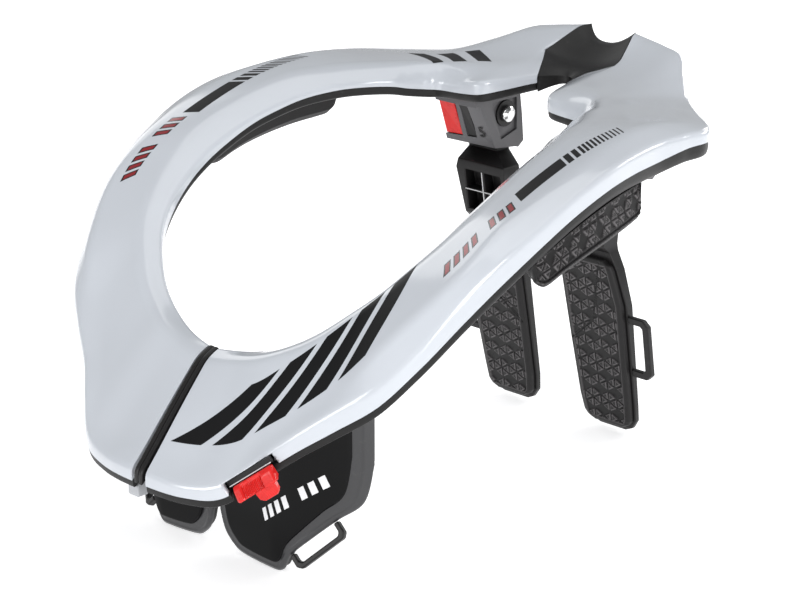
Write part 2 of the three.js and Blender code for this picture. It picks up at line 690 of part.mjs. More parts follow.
function strutRow(height) {
  const last = strutRows.length - 1;
  const found = strutRows.findIndex((row) => row[0] >= height);
  const high = found < 0 ? last : Math.max(found, 1);
  const low = strutRows[high - 1];
  const share = (height - low[0]) / (strutRows[high][0] - low[0]);
  const row = Object.fromEntries(strutColumns.map((name, c) => [name, lerp(low[c], strutRows[high][c], share)]));
  return { ...row, z: height * strutTop, xIn: row.xIn * strutReach, xOut: row.xOut * strutReach };
}

function strut() {
  const neckIn = bracketIn + bracketCheek + strutNeckPlay;
  const neckOut = bracketOut - bracketCheek - strutNeckPlay;
  const sections = strutRows.map(([height]) => strutRow(height))
    .map(({ z, front, back, xIn, xOut }) => [z, strutPlane(z) + front, strutPlane(z) + back, xIn, xOut]);
  sections.push([boltHeight - strutNeck, boltBack - strutNeckFront, boltBack + strutNeckBack, neckIn, neckOut]);
  sections.push([boltHeight - strutEye, boltBack - strutEye + 0.6, boltBack + strutEye, neckIn, neckOut]);
  sections.push([boltHeight, boltBack - strutEye, boltBack + strutEye, neckIn, neckOut]);
  const front = sections.map(([z, yFront, , xIn, xOut]) => [vec(xIn, yFront, z), vec(xOut, yFront, z)]);
  const back = sections.map(([z, , yBack, xIn, xOut]) => [vec(xIn, yBack, z), vec(xOut, yBack, z)]);
  const eye = roundX([[neckIn, 0], [neckIn, strutEye], [neckOut, strutEye], [neckOut, 0]], boltBack, boltHeight);
  return cut(joined(slab(front, back), eye), boltBore(neckIn, neckOut), ...pocketCells());
}

// The four cells of the pocket in the strut's upper box, with a cross of ribs between them.
function pocketCells() {
  const box = strutRows.slice(-3).map(([height]) => strutRow(height));
  const x0 = Math.max(box[0].xIn, box[1].xIn) + pocketWall;
  const x1 = Math.min(box[0].xOut, box[1].xOut) - pocketWall;
  const z0 = box[0].z + pocketWall;
  const z1 = box[1].z;
  const cells = [];
  for (const [xa, xb] of [[x0, (x0 + x1 - pocketRib) / 2], [(x0 + x1 + pocketRib) / 2, x1]]) {
    for (const [za, zb] of [[z0, (z0 + z1 - pocketRib) / 2], [(z0 + z1 + pocketRib) / 2, z1]]) {
      const grid = (depth) => [za, zb].map((z) => [xa, xb].map((x) => vec(x, strutPlane(z) + depth, z)));
      cells.push(slab(grid(-6), grid(pocketDepth)));
    }
  }
  return cells;
}

function strutPad() {
  const stops = [0, 0.09, 0.5, 0.91, 1];
  const crown = [2, 0.5, 0, 0.5, 2];
  const ends = (k) => (k === 0 || k === strutPadRows.length - 1 ? 1.5 : 0);
  const grid = (line) => strutPadRows.map((height, k) => {
    const row = strutRow(height);
    return stops.map((s, j) => {
      const x = lerp(row.xIn + strutPadInset, row.xOut - strutPadInset, s);
      return vec(x, strutPlane(row.z) + line(j, ends(k)), row.z);
    });
  });
  return slab(grid((j, end) => Math.min(crown[j] + end, 2.6)), grid(() => strutPadDepth));
}

function rearLoop() {
  const low = strutRow(rearLoopLow / strutTop);
  const high = strutRow(rearLoopHigh / strutTop);
  const length = rearLoopHigh - rearLoopLow;
  const shape = loopShape(length, loopSlot, loopBar);
  const geometry = new THREE.ExtrudeGeometry(shape, { depth: loopThickness, bevelEnabled: false });
  const upright = new THREE.Matrix4().makeBasis(vec(1, 0, 0), vec(0, 0, 1), vec(0, -1, 0));
  geometry.applyMatrix4(upright);
  const places = geometry.attributes.position;
  for (let i = 0; i < places.count; i += 1) {
    const z = places.getZ(i) + rearLoopLow;
    const edge = lerp(low.xOut, high.xOut, (z - rearLoopLow) / length) + seat;
    const y = strutPlane(z) + low.back - 1 + places.getY(i);
    places.setXYZ(i, places.getX(i) + edge, y, z);
  }
  return geometry;
}

// Front catch under the right half's lower edge, its top following the chassis.
function frontCatch() {
  const row = ringRow(0);
  const outer = row.rRim - chassisInset - chassisRound;
  const rims = [outer, outer - catchReach];
  const sides = [-catchSide - catchWidth, -catchSide];
  const low = chassisUnder(row, outer) - catchHeight;
  const top = sides.map((x) => rims.map((r) => vec(x, -r, chassisUnder(row, r) - catchGap)));
  const foot = sides.map((x) => rims.map((r) => vec(x, -r, low)));
  return slab(top, foot);
}

// Assembly

const brace = new THREE.Group();

function add(name, geometry, material) {
  const mesh = new THREE.Mesh(geometry, material());
  mesh.name = name;
  brace.add(mesh);
}

function addPair(name, geometry, material) {
  add(`${name}_left`, geometry, material);
  add(`${name}_right`, mirrored(geometry), material);
}

const plainShell = shellHalf();
const plainChassis = chassisHalf();
add('shell_left', cut(plainShell, slotCut(0, slotReach / 3)), shellFinish);
add('shell_right', mirrored(plainShell), shellFinish);
add('chassis_left', cut(plainChassis, slotCut(2, slotDepth)), chassisFinish);
add('chassis_right', mirrored(plainChassis), chassisFinish);
add('saddle', saddle(), chassisFinish);
addPair('seam_strip', seamStrip(), darkFinish);
add('front_catch', frontCatch(), tabFinish);
add('latch_trim', latchTrim(), darkFinish);
add('latch_lever', latchLever(), redFinish);
addPair('chest_panel', chestLayer(-seat - 0.1 - chestPanelDepth, -seat - 0.1, chestPanelInset), glossFinish);
addPair('chest_frame', chestLayer(0, chestFrameDepth, 0), chassisFinish);
addPair('chest_pad', chestLayer(chestFrameDepth + seat, chestFrameDepth + seat + chestPadDepth, chestPadInset), padFinish);
addPair('chest_loop', frontLoop(), darkFinish);
addPair('shoulder_pad', shoulderPad(), padFinish);
addPair('bracket', bracket(), greyFinish);
addPair('gauge_red', gauge(redWindow, 0.8), redFinish);
addPair('gauge_black', gauge(blackWindow, 1.2), darkFinish);
addPair('bolt', bolt(), steelFinish);
addPair('washer', washer(), darkFinish);
addPair('strut', strut(), darkFinish);
addPair('strut_pad', strutPad(), padFinish);
addPair('strut_loop', rearLoop(), darkFinish);

const bounds = new THREE.Box3().setFromObject(brace);
brace.position.set(0, -(bounds.min.y + bounds.max.y) / 2, -bounds.min.z);
brace.updateMatrixWorld(true);

export default brace;
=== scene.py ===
"""The looks of a motocross neck brace: glossy shells, dark chassis, chest plates, pads, struts and latch.

Metres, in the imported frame: +X is the wearer's left, -Y the front, +Z up. Tables are in millimetres
or in shares of a named size, and every shape is worked out with numpy on a grid of points.
"""

import json
import math

import bmesh
import bpy
import numpy as np
from bpy.props import FloatProperty, FloatVectorProperty, IntProperty, PointerProperty
from mathutils import Matrix, Vector

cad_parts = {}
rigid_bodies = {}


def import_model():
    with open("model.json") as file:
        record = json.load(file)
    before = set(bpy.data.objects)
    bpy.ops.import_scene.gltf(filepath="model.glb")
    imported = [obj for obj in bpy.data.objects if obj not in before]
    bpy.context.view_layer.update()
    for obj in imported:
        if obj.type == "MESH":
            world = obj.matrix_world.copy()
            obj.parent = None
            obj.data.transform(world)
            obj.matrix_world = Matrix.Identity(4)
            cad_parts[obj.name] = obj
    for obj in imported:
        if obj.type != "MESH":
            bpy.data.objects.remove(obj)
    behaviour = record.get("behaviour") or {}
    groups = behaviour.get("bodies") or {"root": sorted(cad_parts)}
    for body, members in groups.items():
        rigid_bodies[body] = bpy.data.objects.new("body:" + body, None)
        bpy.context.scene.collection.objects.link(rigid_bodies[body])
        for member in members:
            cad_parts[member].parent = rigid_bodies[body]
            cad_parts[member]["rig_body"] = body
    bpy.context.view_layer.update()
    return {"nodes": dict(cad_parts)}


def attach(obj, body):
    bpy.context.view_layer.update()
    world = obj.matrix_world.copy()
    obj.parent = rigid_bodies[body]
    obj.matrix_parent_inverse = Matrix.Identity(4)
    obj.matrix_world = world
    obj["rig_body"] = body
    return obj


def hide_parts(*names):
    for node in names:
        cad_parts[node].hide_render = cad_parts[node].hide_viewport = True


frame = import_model()

bl_info = {
    "name": "Motocross neck brace",
    "version": (1, 0, 0),
    "blender": (4, 5, 0),
    "location": "3D View > Sidebar > Neck brace",
    "description": "Builds a neck brace round its packed frame",
    "category": "Object",
}

# Sizes shared with the frame, in millimetres

RING_SHIFT = np.array([0.0, -4.0035, -3.92])
RING_REACH = 191.0
RING_RISE = 234.0
SHELL_WALL = 3.0
SEAT = 0.3
CHASSIS_DEPTH = 5.0
CHASSIS_RIM_FRONT = 6.0
CHASSIS_RIM_REAR = 9.0
CHASSIS_INSET = 0.7
CHASSIS_ROUND = 2.5
SEAM_STRIP_REACH = 3.1
SEAM_STRIP_PROUD = 0.5
SADDLE_GAP = 0.5
SADDLE_DIP = 7.5
SADDLE_NOTCH = 6.0
SADDLE_DRAW = 14.0
SADDLE_ARCH = 4.0
CHEST_REACH = 84.0
CHEST_HEIGHT = 112.0
CHEST_FRONT = 128.5
CHEST_FLAT = 42.0
CHEST_BEND = 55.0
CHEST_TUCK = 2.5
CHEST_FRAME_DEPTH = 3.0
CHEST_PANEL_DEPTH = 1.4
CHEST_PANEL_INSET = 5.5
CHEST_PAD_DEPTH = 5.6
CHEST_PAD_INSET = 1.5
SHOULDER_DEPTH = 24.0
SHOULDER_INNER_DEPTH = 10.0
SHOULDER_INSET = 6.0
SHOULDER_FLARE = 6.6
SHOULDER_DRAW = 2.5
BRACKET_IN = 35.0
BRACKET_OUT = 66.5
BOLT_BACK = 134.7
BOLT_HEIGHT = 186.1
STRUT_TOP = 158.8
BRACKET_LOW_IN = np.array([-9.2, -19.5])
BRACKET_LOW_OUT = np.array([-17.0, -17.5])
BRACKET_HIGH_IN = np.array([-28.8, 19.9])
BRACKET_HIGH_OUT = np.array([-29.5, 19.9])
DIGIT_X = 40.6
DIGIT_Z = 173.2
DIGIT_HEIGHT = 7.4
STRUT_REACH = 62.0
STRUT_LEAN = 0.22
STRUT_FACE = 28.5
STRUT_PAD_DEPTH = 4.0
STRUT_PAD_INSET = 1.6
POCKET_WALL = 3.0
# Radius of the pale wires that paint a highlight along a strut box's ribs
RIB_HIGHLIGHT_RADIUS = 0.3
LATCH_LENGTH = 30.5
LATCH_ANGLE = -69.0
LATCH_SLOPE = 36.4
LATCH_BAND = 3.6
SLOT_DEPTH = 3.4
SLOT_REACH = 22.0
LEVER_LENGTH = 26.0
LEVER_HEIGHT = 8.6
LEVER_SHIFT = 1.0
TONGUE_WIDTH = 13.0
TONGUE_HEIGHT = 5.6
TONGUE_SHIFT = 6.0

# A row is one station round the left half, from the front seam to the rear seam: degrees at the neck
# side and at the rim, how far the middle bows forward, then thousandths of RING_REACH and RING_RISE.
RING_COLUMNS = (
    "in_angle out_angle bow r_in r_crest r_mid r_edge r_rim "
    "z_sill z_in z_crest z_mid z_edge z_rim z_skirt"
).split()
RING_ROWS = np.array([
    [-88.3, -88.3, 0, 662, 709, 801, 893, 945, 462, 500, 483, 401, 314, 267, 239],
    [-80, -80, 0, 647, 704, 797, 890, 945, 468, 506, 502, 409, 308, 267, 241],
    [-73, -73, 0, 640, 707, 801, 895, 937, 483, 519, 524, 429, 329, 286, 256],
    [-67, -67, 0, 642, 703, 782, 861, 908, 509, 543, 547, 469, 387, 350, 314],
    [-61, -61, 0, 644, 705, 773, 840, 885, 543, 575, 579, 513, 442, 408, 368],
    [-54, -54, 0, 641, 700, 770, 840, 887, 585, 620, 628, 571, 509, 470, 425],
    [-47, -47, 0, 634, 690, 771, 853, 895, 630, 665, 677, 640, 598, 524, 483],
    [-40, -40, 0, 615, 672, 755, 839, 880, 679, 714, 726, 702, 673, 605, 562],
    [-32, -32, 0, 584, 641, 728, 814, 851, 732, 759, 776, 766, 750, 701, 650],
    [-24, -24, 0, 552, 609, 688, 767, 825, 774, 799, 820, 821, 816, 771, 722],
    [-15, -15, 0, 521, 578, 659, 740, 800, 810, 831, 857, 860, 858, 827, 784],
    [-6, -6, 0, 497, 555, 637, 719, 782, 840, 856, 885, 891, 891, 872, 830],
    [4, 4, 0, 483, 540, 623, 706, 772, 861, 875, 910, 917, 919, 902, 861],
    [14, 14, 0, 480, 538, 620, 703, 771, 877, 890, 927, 934, 936, 914, 872],
    [24, 24, 0, 479, 537, 629, 721, 796, 887, 901, 933, 941, 944, 917, 876],
    [33, 31.5, 0, 490, 547, 653, 759, 848, 890, 903, 935, 940, 940, 916, 885],
    [46, 38, 0, 516, 568, 696, 822, 903, 887, 902, 934, 934, 928, 913, 885],
    [52, 49, 0, 542, 589, 702, 819, 887, 878, 895, 932, 932, 924, 915, 882],
    [57, 59, 0, 573, 610, 717, 830, 903, 871, 891, 931, 929, 925, 917, 882],
    [61, 66.7, 0, 589, 620, 743, 877, 946, 868, 890, 929, 931, 942, 944, 902],
    [68.5, 73, 0, 560, 626, 780, 937, 1000, 870, 895, 929, 934, 970, 974, 927],
    [75.6, 77.5, 0, 548, 654, 804, 953, 1000, 875, 906, 927, 937, 983, 985, 938],
    [80.5, 81.5, 1.5, 602, 702, 827, 958, 995, 882, 908, 927, 941, 991, 993, 944],
    [85.2, 84.8, 4.8, 706, 756, 848, 958, 991, 891, 908, 927, 944, 998, 1000, 951],
])
RING_END = len(RING_ROWS) - 1

# A chest plate's lower outline: shares of CHEST_REACH and CHEST_HEIGHT, and how high its top may reach.
CHEST_ROWS = np.array([
    [0.030, 0.240, 1.00], [0.070, 0.140, 1.00], [0.140, 0.080, 1.00], [0.226, 0.049, 1.00],
    [0.464, 0.035, 1.00], [0.565, 0.047, 1.00], [0.632, 0.134, 1.00], [0.748, 0.226, 1.00],
    [0.864, 0.318, 1.00], [0.965, 0.400, 0.98], [1.000, 0.580, 0.92],
])

# Shoulder pad sections: degrees at the neck side and at the rim, and the share of its depth.
SHOULDER_ROWS = np.array([
    [-16, -16, 0.50], [-13.5, -13.5, 0.80], [-8, -9, 0.87], [0, -3, 0.92], [9, 4, 0.95],
    [17, 10.5, 0.93], [24, 15.5, 0.88], [27, 18, 0.80], [28.5, 19.5, 0.45],
])

# Strut sections from the tip up: share of STRUT_TOP, mm of the front behind the pad's plane, and the
# shares of STRUT_REACH of the two sides.
STRUT_ROWS = np.array([
    [0.036, 5.2, 0.47, 0.77], [0.054, 4.3, 0.38, 0.87], [0.090, 4.3, 0.31, 0.93],
    [0.155, 4.3, 0.285, 0.945], [0.382, 4.3, 0.265, 0.975], [0.567, 4.3, 0.255, 1.000],
    [0.704, 4.3, 0.250, 0.940], [0.770, 4.3, 0.270, 0.875], [0.794, 0.5, 0.295, 0.860],
    [0.967, 2.5, 0.315, 0.930], [1.000, 4.5, 0.330, 0.920],
])

# Where a strut's pad and its box of cells lie, as shares of STRUT_TOP
PAD_LOW = 0.054
PAD_HIGH = 0.740
BOX_LOW = 0.794
BOX_HIGH = 0.967

SIDES = {"left": 1, "right": -1}

# Ways of making meshes: a corner takes this share of its shorter side, the two angles are of a bevelled
# edge and of faces joined into one, and points closer than the last, in metres, are one
CORNER_SHARE = 0.48
BEVEL_ANGLE = math.radians(28)
FLAT_ANGLE = math.radians(1.5)
WELD_REACH = 2e-6

# Lane of the bars along an arm: its distance from the middle and how that falls off away from ARM_LANE_Y
ARM_LANE = 123.2
ARM_LANE_Y = -36
ARM_LANE_BOW = 0.00042

# Latch line: radius, and how far it lies inside the slot's edge and the lip
LINE_RADIUS = 0.3
LINE_DEPTH = 1.1

# Moulded plastics: material, roughness, lumps of grain in a metre, their height in metres, clear coat
GRAINED = {
    "chassis": ("chassis_satin", 0.42, 2600, 0.00005, 0.0),
    "dark": ("dark_satin", 0.42, 2600, 0.00005, 0.0),
    "rim": ("rim_satin", 0.32, 1800, 0.00003, 0.3),
    "bracket": ("bracket_satin", 0.38, 1800, 0.00003, 0.0),
    "tab": ("catch_satin", 0.35, 1800, 0.00003, 0.0),
    "line": ("line_satin", 0.3, 1800, 0.00002, 0.0),
}

# CAD nodes of the struts and brackets that are copied with rounded edges: finish and width of the rounding
ROUNDED = {
    "strut": ("dark", 1.1), "strut_loop": ("dark", 0.9), "bracket": ("bracket", 0.7),
    "gauge_red": ("red", 0.4), "gauge_black": ("dark", 0.3), "washer": ("dark", 0.25), "bolt": ("steel", 0.5),
}


# Grids and meshes

def to_frame(points):
    """Millimetres from the neck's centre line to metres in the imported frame: shift, then a thousandth."""
    return (np.asarray(points, float) + RING_SHIFT) / 1000.0


def lerp(a, b, share):
    """The value that share of the way from a to b: a + (b - a) * share."""
    return a + (b - a) * share


def smoothstep(low, high, x):
    """0 up to low, 1 from high, and the cubic 3t^2 - 2t^3 of the share t between them."""
    t = np.clip((x - low) / (high - low), 0, 1)
    return t * t * (3 - 2 * t)


def hill(x, place, width):
    """A bell of height 1: e to the power of minus the square of the distance from place in widths."""
    return np.exp(-((x - place) / width) ** 2)


def wave(x, pitch):
    """A cosine from 1 down to 0 and back in each pitch."""
    return 0.5 + 0.5 * np.cos(2 * np.pi * x / pitch)


def crowded(count, share):
    """Numbers t from 0 to 1 that lie closer towards both ends, by t - share * sin(2 pi t)."""
    t = np.linspace(0, 1, count)
    return t - share * np.sin(2 * np.pi * t)


def joined(*parts):
    """Coordinates, spread over each other, joined into points along a new last axis."""
    return np.stack(np.broadcast_arrays(*parts), axis=-1)


def unit(vectors):
    """The vectors at length 1."""
    return vectors / np.maximum(np.linalg.norm(vectors, axis=-1, keepdims=True), 1e-9)


def walked(points):
    """The length of the line through the points, from the first of them to each."""
    steps = np.linalg.norm(np.diff(points, axis=-2), axis=-1)
    return np.concatenate([0 * steps[..., :1], np.cumsum(steps, axis=-1)], axis=-1)


def curve_through(table, places):
    """Catmull-Rom curve through a table's rows, at places counted in rows."""
    table = np.asarray(table, float)
    end = len(table) - 1
    places = np.clip(np.asarray(places, float), 0, end)
    low = np.minimum(places.astype(int), end - 1)
    t = (places - low)[..., None]
    a, b, c, d = (table[np.clip(low + k, 0, end)] for k in (-1, 0, 1, 2))
    square, cube = 2 * a - 5 * b + 4 * c - d, 3 * b - a - 3 * c + d
    return 0.5 * (2 * b + (c - a) * t + square * t ** 2 + cube * t ** 3)


def rounded_line(points, radii, corner_steps=7, side_steps=4):
    """A polyline with each inner corner turned into the parabola between two points radius before and
    after it. points is (stations, corners, 2) and the result (stations, samples, 2)."""
    sides = np.diff(points, axis=1)
    lengths, ways = np.linalg.norm(sides, axis=2), unit(sides)
    side_share = np.linspace(0, 1, side_steps + 1)[1:-1, None]
    t = np.linspace(0, 1, corner_steps)[:, None]
    pieces = [points[:, :1]]
    last, end = points[:, :1], points[:, -1:]
    for k in range(1, points.shape[1] - 1):
        shorter = np.minimum(lengths[:, k - 1], lengths[:, k])
        reach = np.minimum(radii[k], CORNER_SHARE * shorter)[:, None, None]
        middle = points[:, k:k + 1]
        start, stop = middle - ways[:, k - 1:k] * reach, middle + ways[:, k:k + 1] * reach
        bend = (1 - t) ** 2 * start + 2 * t * (1 - t) * middle + t ** 2 * stop
        pieces += [lerp(last, start, side_share), bend]
        last = stop
    return np.concatenate([*pieces, lerp(last, end, side_share), end], axis=1)


def grid_faces(rows, columns, offset=0, wrap=False):
    """Quads of a grid of rows x columns points, closed round its columns if wrap."""
    i = np.arange(rows - 1)[:, None]
    j = np.arange(columns if wrap else columns - 1)[None, :]
    k = (j + 1) % columns
    a, b = i * columns + j, i * columns + k
    c, d = (i + 1) * columns + k, (i + 1) * columns + j
    return np.stack([a, b, c, d], axis=-1).reshape(-1, 4) + offset


def slab(front, back):
    """Points and quads of the closed body between two grids of points with the same rows and columns:
    both grids, and a wall round their edge."""
    rows, columns = front.shape[:2]
    count = rows * columns
    points = np.concatenate([front.reshape(-1, 3), back.reshape(-1, 3)])
    first = np.arange(count).reshape(rows, columns)
    rim = np.concatenate([first[0, :-1], first[:-1, -1], first[-1, :0:-1], first[:0:-1, 0]])
    after = np.roll(rim, -1)
    wall = np.stack([after, rim, rim + count, after + count], axis=1)
    faces = np.concatenate([grid_faces(rows, columns), grid_faces(rows, columns, count)[:, ::-1], wall])
    return points, faces


def tube(loops):
    """Points and faces of a closed body carried along a path: loops is (stations, around, 3), and each
    end is closed by a fan to its middle."""
    stations, around = loops.shape[:2]
    points = np.concatenate([loops.reshape(-1, 3), loops[0].mean(0)[None], loops[-1].mean(0)[None]])
    side = grid_faces(stations, around, wrap=True)
    j = np.arange(around)
    k = (j + 1) % around
    start, end = stations * around, stations * around + 1
    low = np.stack([k, j, np.full(around, start), np.full(around, start)], axis=1)
    last = (stations - 1) * around
    high = np.stack([last + j, last + k, np.full(around, end), np.full(around, end)], axis=1)
    return points, np.concatenate([side, low, high])


def turned_out(points, faces):
    """The faces, reversed if the body's signed volume, the sum of a . (b x c) / 6, is negative."""
    a, b, c, d = (points[faces[:, k]] for k in range(4))
    volume = np.einsum("ij,ij->i", a, np.cross(b, c)) + np.einsum("ij,ij->i", a, np.cross(c, d))
    return faces if volume.sum() > 0 else faces[:, ::-1]


def new_mesh(name, points, faces, uv=None, smooth=38):
    """A mesh from metres and quads, where a quad that repeats its last corner is a triangle."""
    faces = turned_out(points, faces)
    corners = [list(dict.fromkeys(face)) for face in faces.tolist()]
    mesh = bpy.data.meshes.new(name)
    mesh.from_pydata(points.tolist(), [], corners)
    mesh.validate()
    mesh.shade_smooth()
    mesh.set_sharp_from_angle(angle=math.radians(smooth))
    if uv is not None:
        layer = mesh.uv_layers.new(name="UVMap")
        index = np.zeros(len(mesh.loops), np.int32)
        mesh.loops.foreach_get("vertex_index", index)
        layer.data.foreach_set("uv", uv[index].astype(np.float32).ravel())
    return mesh


def link(name, data):
    """A new object in the scene, with that data."""
    made = bpy.data.objects.new(name, data)
    bpy.context.scene.collection.objects.link(made)
    return made


def place_piece(name, mesh, paint, body="brace", stands_for=(), slot=None):
    """Puts a mesh in the scene at the origin, riding on its body, in the finish that paint names.
    slot is not used."""
    piece = link(name, mesh)
    mesh.materials.clear()
    mesh.materials.append(finishes()[paint])
    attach(piece, body)
    if stands_for:
        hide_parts(*stands_for)
    return piece


def add_piece(name, shape, paint, **where):
    """A piece from (points, faces) in ring millimetres."""
    points, faces = shape
    return place_piece(name, new_mesh(name, to_frame(points), faces), paint, **where)


def add_pair(name, shape, paint, replaced, slot=None, uv=None, body=None):
    """The left piece and its mirror image, x to -x, on the right."""
    points, faces = shape
    pieces = []
    for side, sign in SIDES.items():
        rides = f"{body}_{side}" if body else "brace"
        mesh = new_mesh(f"{name}_{side}", to_frame(points * [sign, 1, 1]), faces, uv)
        pieces.append(place_piece(f"{name}_{side}", mesh, paint, rides, (f"{replaced}_{side}",), slot))
    return pieces


def baked(piece):
    """The piece with its modifiers applied to its mesh."""
    bpy.context.view_layer.update()
    done = bpy.data.meshes.new_from_object(piece.evaluated_get(bpy.context.evaluated_depsgraph_get()))
    piece.modifiers.clear()
    piece.data = done
    return piece


def carved(piece, shape):
    """Cuts a body, given as (points, faces) in ring millimetres, out of the piece."""
    points, faces = shape
    tool = link("cutting_tool", new_mesh("cutting_tool", to_frame(points), faces))
    cut = piece.modifiers.new("cut", "BOOLEAN")
    cut.operation = "DIFFERENCE"
    cut.solver = "EXACT"
    cut.object = tool
    baked(piece)
    bpy.data.objects.remove(tool)


def rounded_copy(node, paint, width, slot=None):
    """A copy of a hard CAD node whose edges are rounded by a bevel of that width in millimetres."""
    mesh = frame["nodes"][node].data.copy()
    work = bmesh.new()
    work.from_mesh(mesh)
    bmesh.ops.remove_doubles(work, verts=work.verts, dist=WELD_REACH)
    bmesh.ops.dissolve_limit(work, angle_limit=FLAT_ANGLE, verts=work.verts, edges=work.edges)
    work.to_mesh(mesh)
    work.free()
    mesh.shade_smooth()
    mesh.set_sharp_from_angle(angle=BEVEL_ANGLE)
    piece = place_piece(f"{node}_body", mesh, paint, frame["nodes"][node]["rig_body"], (node,), slot)
    bevel = piece.modifiers.new("edges", "BEVEL")
    bevel.width = width / 1000
    bevel.segments = 3
    bevel.limit_method = "ANGLE"
    bevel.angle_limit = BEVEL_ANGLE
    bevel.harden_normals = True
    return baked(piece)


# Ring

def ring_rows(places):
    """The ring's sections at places between 0, the front seam, and RING_END: degrees and mm."""
    values = curve_through(RING_ROWS, places)
    full = {"r": RING_REACH / 1000, "z": RING_RISE / 1000}
    return {name: values[..., k] * full.get(name[0], 1) for k, name in enumerate(RING_COLUMNS)}


def rows_at(angles):
    """The sections whose neck side lies at these angles."""
    places = np.linspace(0, RING_END, 2400)
    return ring_rows(np.interp(angles, ring_rows(places)["in_angle"], places))


def column(row):
    """Each value of a set of sections as a column, to go with samples across the section."""
    return {name: np.asarray(value)[..., None] for name, value in row.items()}


def rim_share(row, r):
    """0 at the neck side and 1 at the rim."""
    return (r - row["r_in"]) / (row["r_rim"] - row["r_in"])


def ring_point(row, r, z):
    """x = r cos a and y = r sin a, where the angle a runs from in_angle to out_angle as r goes from
    neck side to rim, less a bow that grows in a straight line to r_mid and back."""
    rising = (r - row["r_in"]) / (row["r_mid"] - row["r_in"])
    falling = (row["r_rim"] - r) / (row["r_rim"] - row["r_mid"])
    bow = row["bow"] * np.where(r < row["r_mid"], rising, falling)
    angle = np.radians(lerp(row["in_angle"], row["out_angle"], rim_share(row, r)) - bow)
    return joined(r * np.cos(angle), r * np.sin(angle), z)


def seat_line(row, r):
    """The straight line from sill to skirt, on which shell and chassis meet."""
    return lerp(row["z_sill"], row["z_skirt"], rim_share(row, r))


def chassis_top(row, r):
    return seat_line(row, r) - SEAT


def chassis_thickness(row, r, along):
    """From its depth at the neck side to the rim's, which itself changes from front to rear."""
    return lerp(CHASSIS_DEPTH, lerp(CHASSIS_RIM_FRONT, CHASSIS_RIM_REAR, along), rim_share(row, r))


def chassis_under(row, r, along=0.5):
    return chassis_top(row, r) - chassis_thickness(row, r, along)


def shell_outer(row):
    """The shell's outer corners at each section, (stations, 7, 2) of r and z."""
    names = ("r_in z_sill", "r_in z_in", "r_crest z_crest", "r_mid z_mid", "r_edge z_edge",
             "r_rim z_rim", "r_rim z_skirt")
    return np.stack([joined(*(row[name] for name in pair.split())) for pair in names], axis=-2)


def shell_inner(row):
    """The inner corners: each as far under the outer ones as the wall is thick on the steeper side."""
    outer = shell_outer(row)
    run, rise = np.moveaxis(np.diff(outer, axis=-2), -1, 0)
    slope = rise / np.maximum(run, 1e-6)
    drop = SHELL_WALL * np.hypot(1, slope)
    near, far = row["r_in"] + SHELL_WALL, row["r_rim"] - SHELL_WALL
    r, z = np.moveaxis(outer[..., 2:5, :], -1, 0)
    under = joined(r, z - np.maximum(drop[..., 1:4], drop[..., 2:5]))
    ends = [
        joined(near, seat_line(row, near)),
        joined(near, row["z_in"] + slope[..., 1] * SHELL_WALL - drop[..., 1]),
        joined(far, row["z_rim"] - slope[..., 4] * SHELL_WALL - drop[..., 4]),
        joined(far, seat_line(row, far)),
    ]
    return np.concatenate([np.stack(ends[:2], -2), under, np.stack(ends[2:], -2)], axis=-2)


def shell_rounds(sizes):
    """The rounding of each corner of the shell's section."""
    return np.array([
        0, sizes.lip_round, sizes.crest_round, sizes.mid_round, sizes.edge_round, sizes.rim_round, 0,
    ])


def shell_shape(sizes):
    """The shell half between its outer and inner sections, carried round the ring. Its UV map holds
    metres: along the ring's middle crease from the front seam, and across it, outwards positive."""
    row = ring_rows(np.linspace(0, RING_END, RING_END * sizes.shell_steps + 1))
    wide = column(row)
    outer = rounded_line(shell_outer(row), shell_rounds(sizes))
    inner = rounded_line(shell_inner(row), 0.6 * shell_rounds(sizes))
    front = ring_point(wide, outer[..., 0], outer[..., 1])
    back = ring_point(wide, inner[..., 0], inner[..., 1])
    along = walked(ring_point(row, row["r_mid"], row["z_mid"]))
    across = walked(front)
    crease = np.argmin(np.abs(outer[..., 0] - wide["r_mid"]), axis=1)
    across = across - np.take_along_axis(across, crease[:, None], axis=1)
    uv = joined(along[:, None], across).reshape(-1, 2) / 1000
    return slab(front, back), np.concatenate([uv, uv + [0, 1]])


def chassis_shape(sizes):
    """The chassis half: a plate from the seat line down to its thickness, rounded along both edges."""
    places = np.linspace(0, RING_END, RING_END * sizes.shell_steps + 1)
    wide = column(ring_rows(places))
    turn = np.linspace(0, 1, 7)
    near = wide["r_in"] + CHASSIS_INSET + CHASSIS_ROUND * turn
    far = wide["r_rim"] - CHASSIS_INSET - CHASSIS_ROUND * turn[::-1]
    flat = lerp(near[:, -1:], far[:, :1], np.linspace(0, 1, 14)[1:-1])
    r = np.concatenate([near, flat, far], axis=1)
    round_share = lerp(0.45, 1, np.sqrt(1 - (1 - turn) ** 2))
    share = np.concatenate([round_share, np.ones(flat.shape[1]), round_share[::-1]])
    top = chassis_top(wide, r)
    under = top - chassis_thickness(wide, r, (places / RING_END)[:, None]) * share
    return slab(ring_point(wide, r, top), ring_point(wide, r, under))


def seam_strip_shape(sizes):
    """The shell's section at the front seam, swept sideways over half the strip, its middle raised."""
    row = ring_rows([0])
    outer = rounded_line(shell_outer(row), shell_rounds(sizes))[0]
    inner = rounded_line(shell_inner(row), shell_rounds(sizes))[0]
    x = lerp(SEAT / 2, SEAM_STRIP_REACH, np.linspace(0, 1, 7))[:, None]
    crown = SEAM_STRIP_PROUD * np.array([0.15, 0.85, 1, 1, 1, 0.8, 0.2])
    lift = unit(joined(-np.gradient(outer[:, 1]), np.gradient(outer[:, 0])))
    proud = outer + crown[:, None, None] * lift
    return slab(joined(x, -proud[..., 0], proud[..., 1]), joined(x, -inner[:, 0], inner[:, 1]))


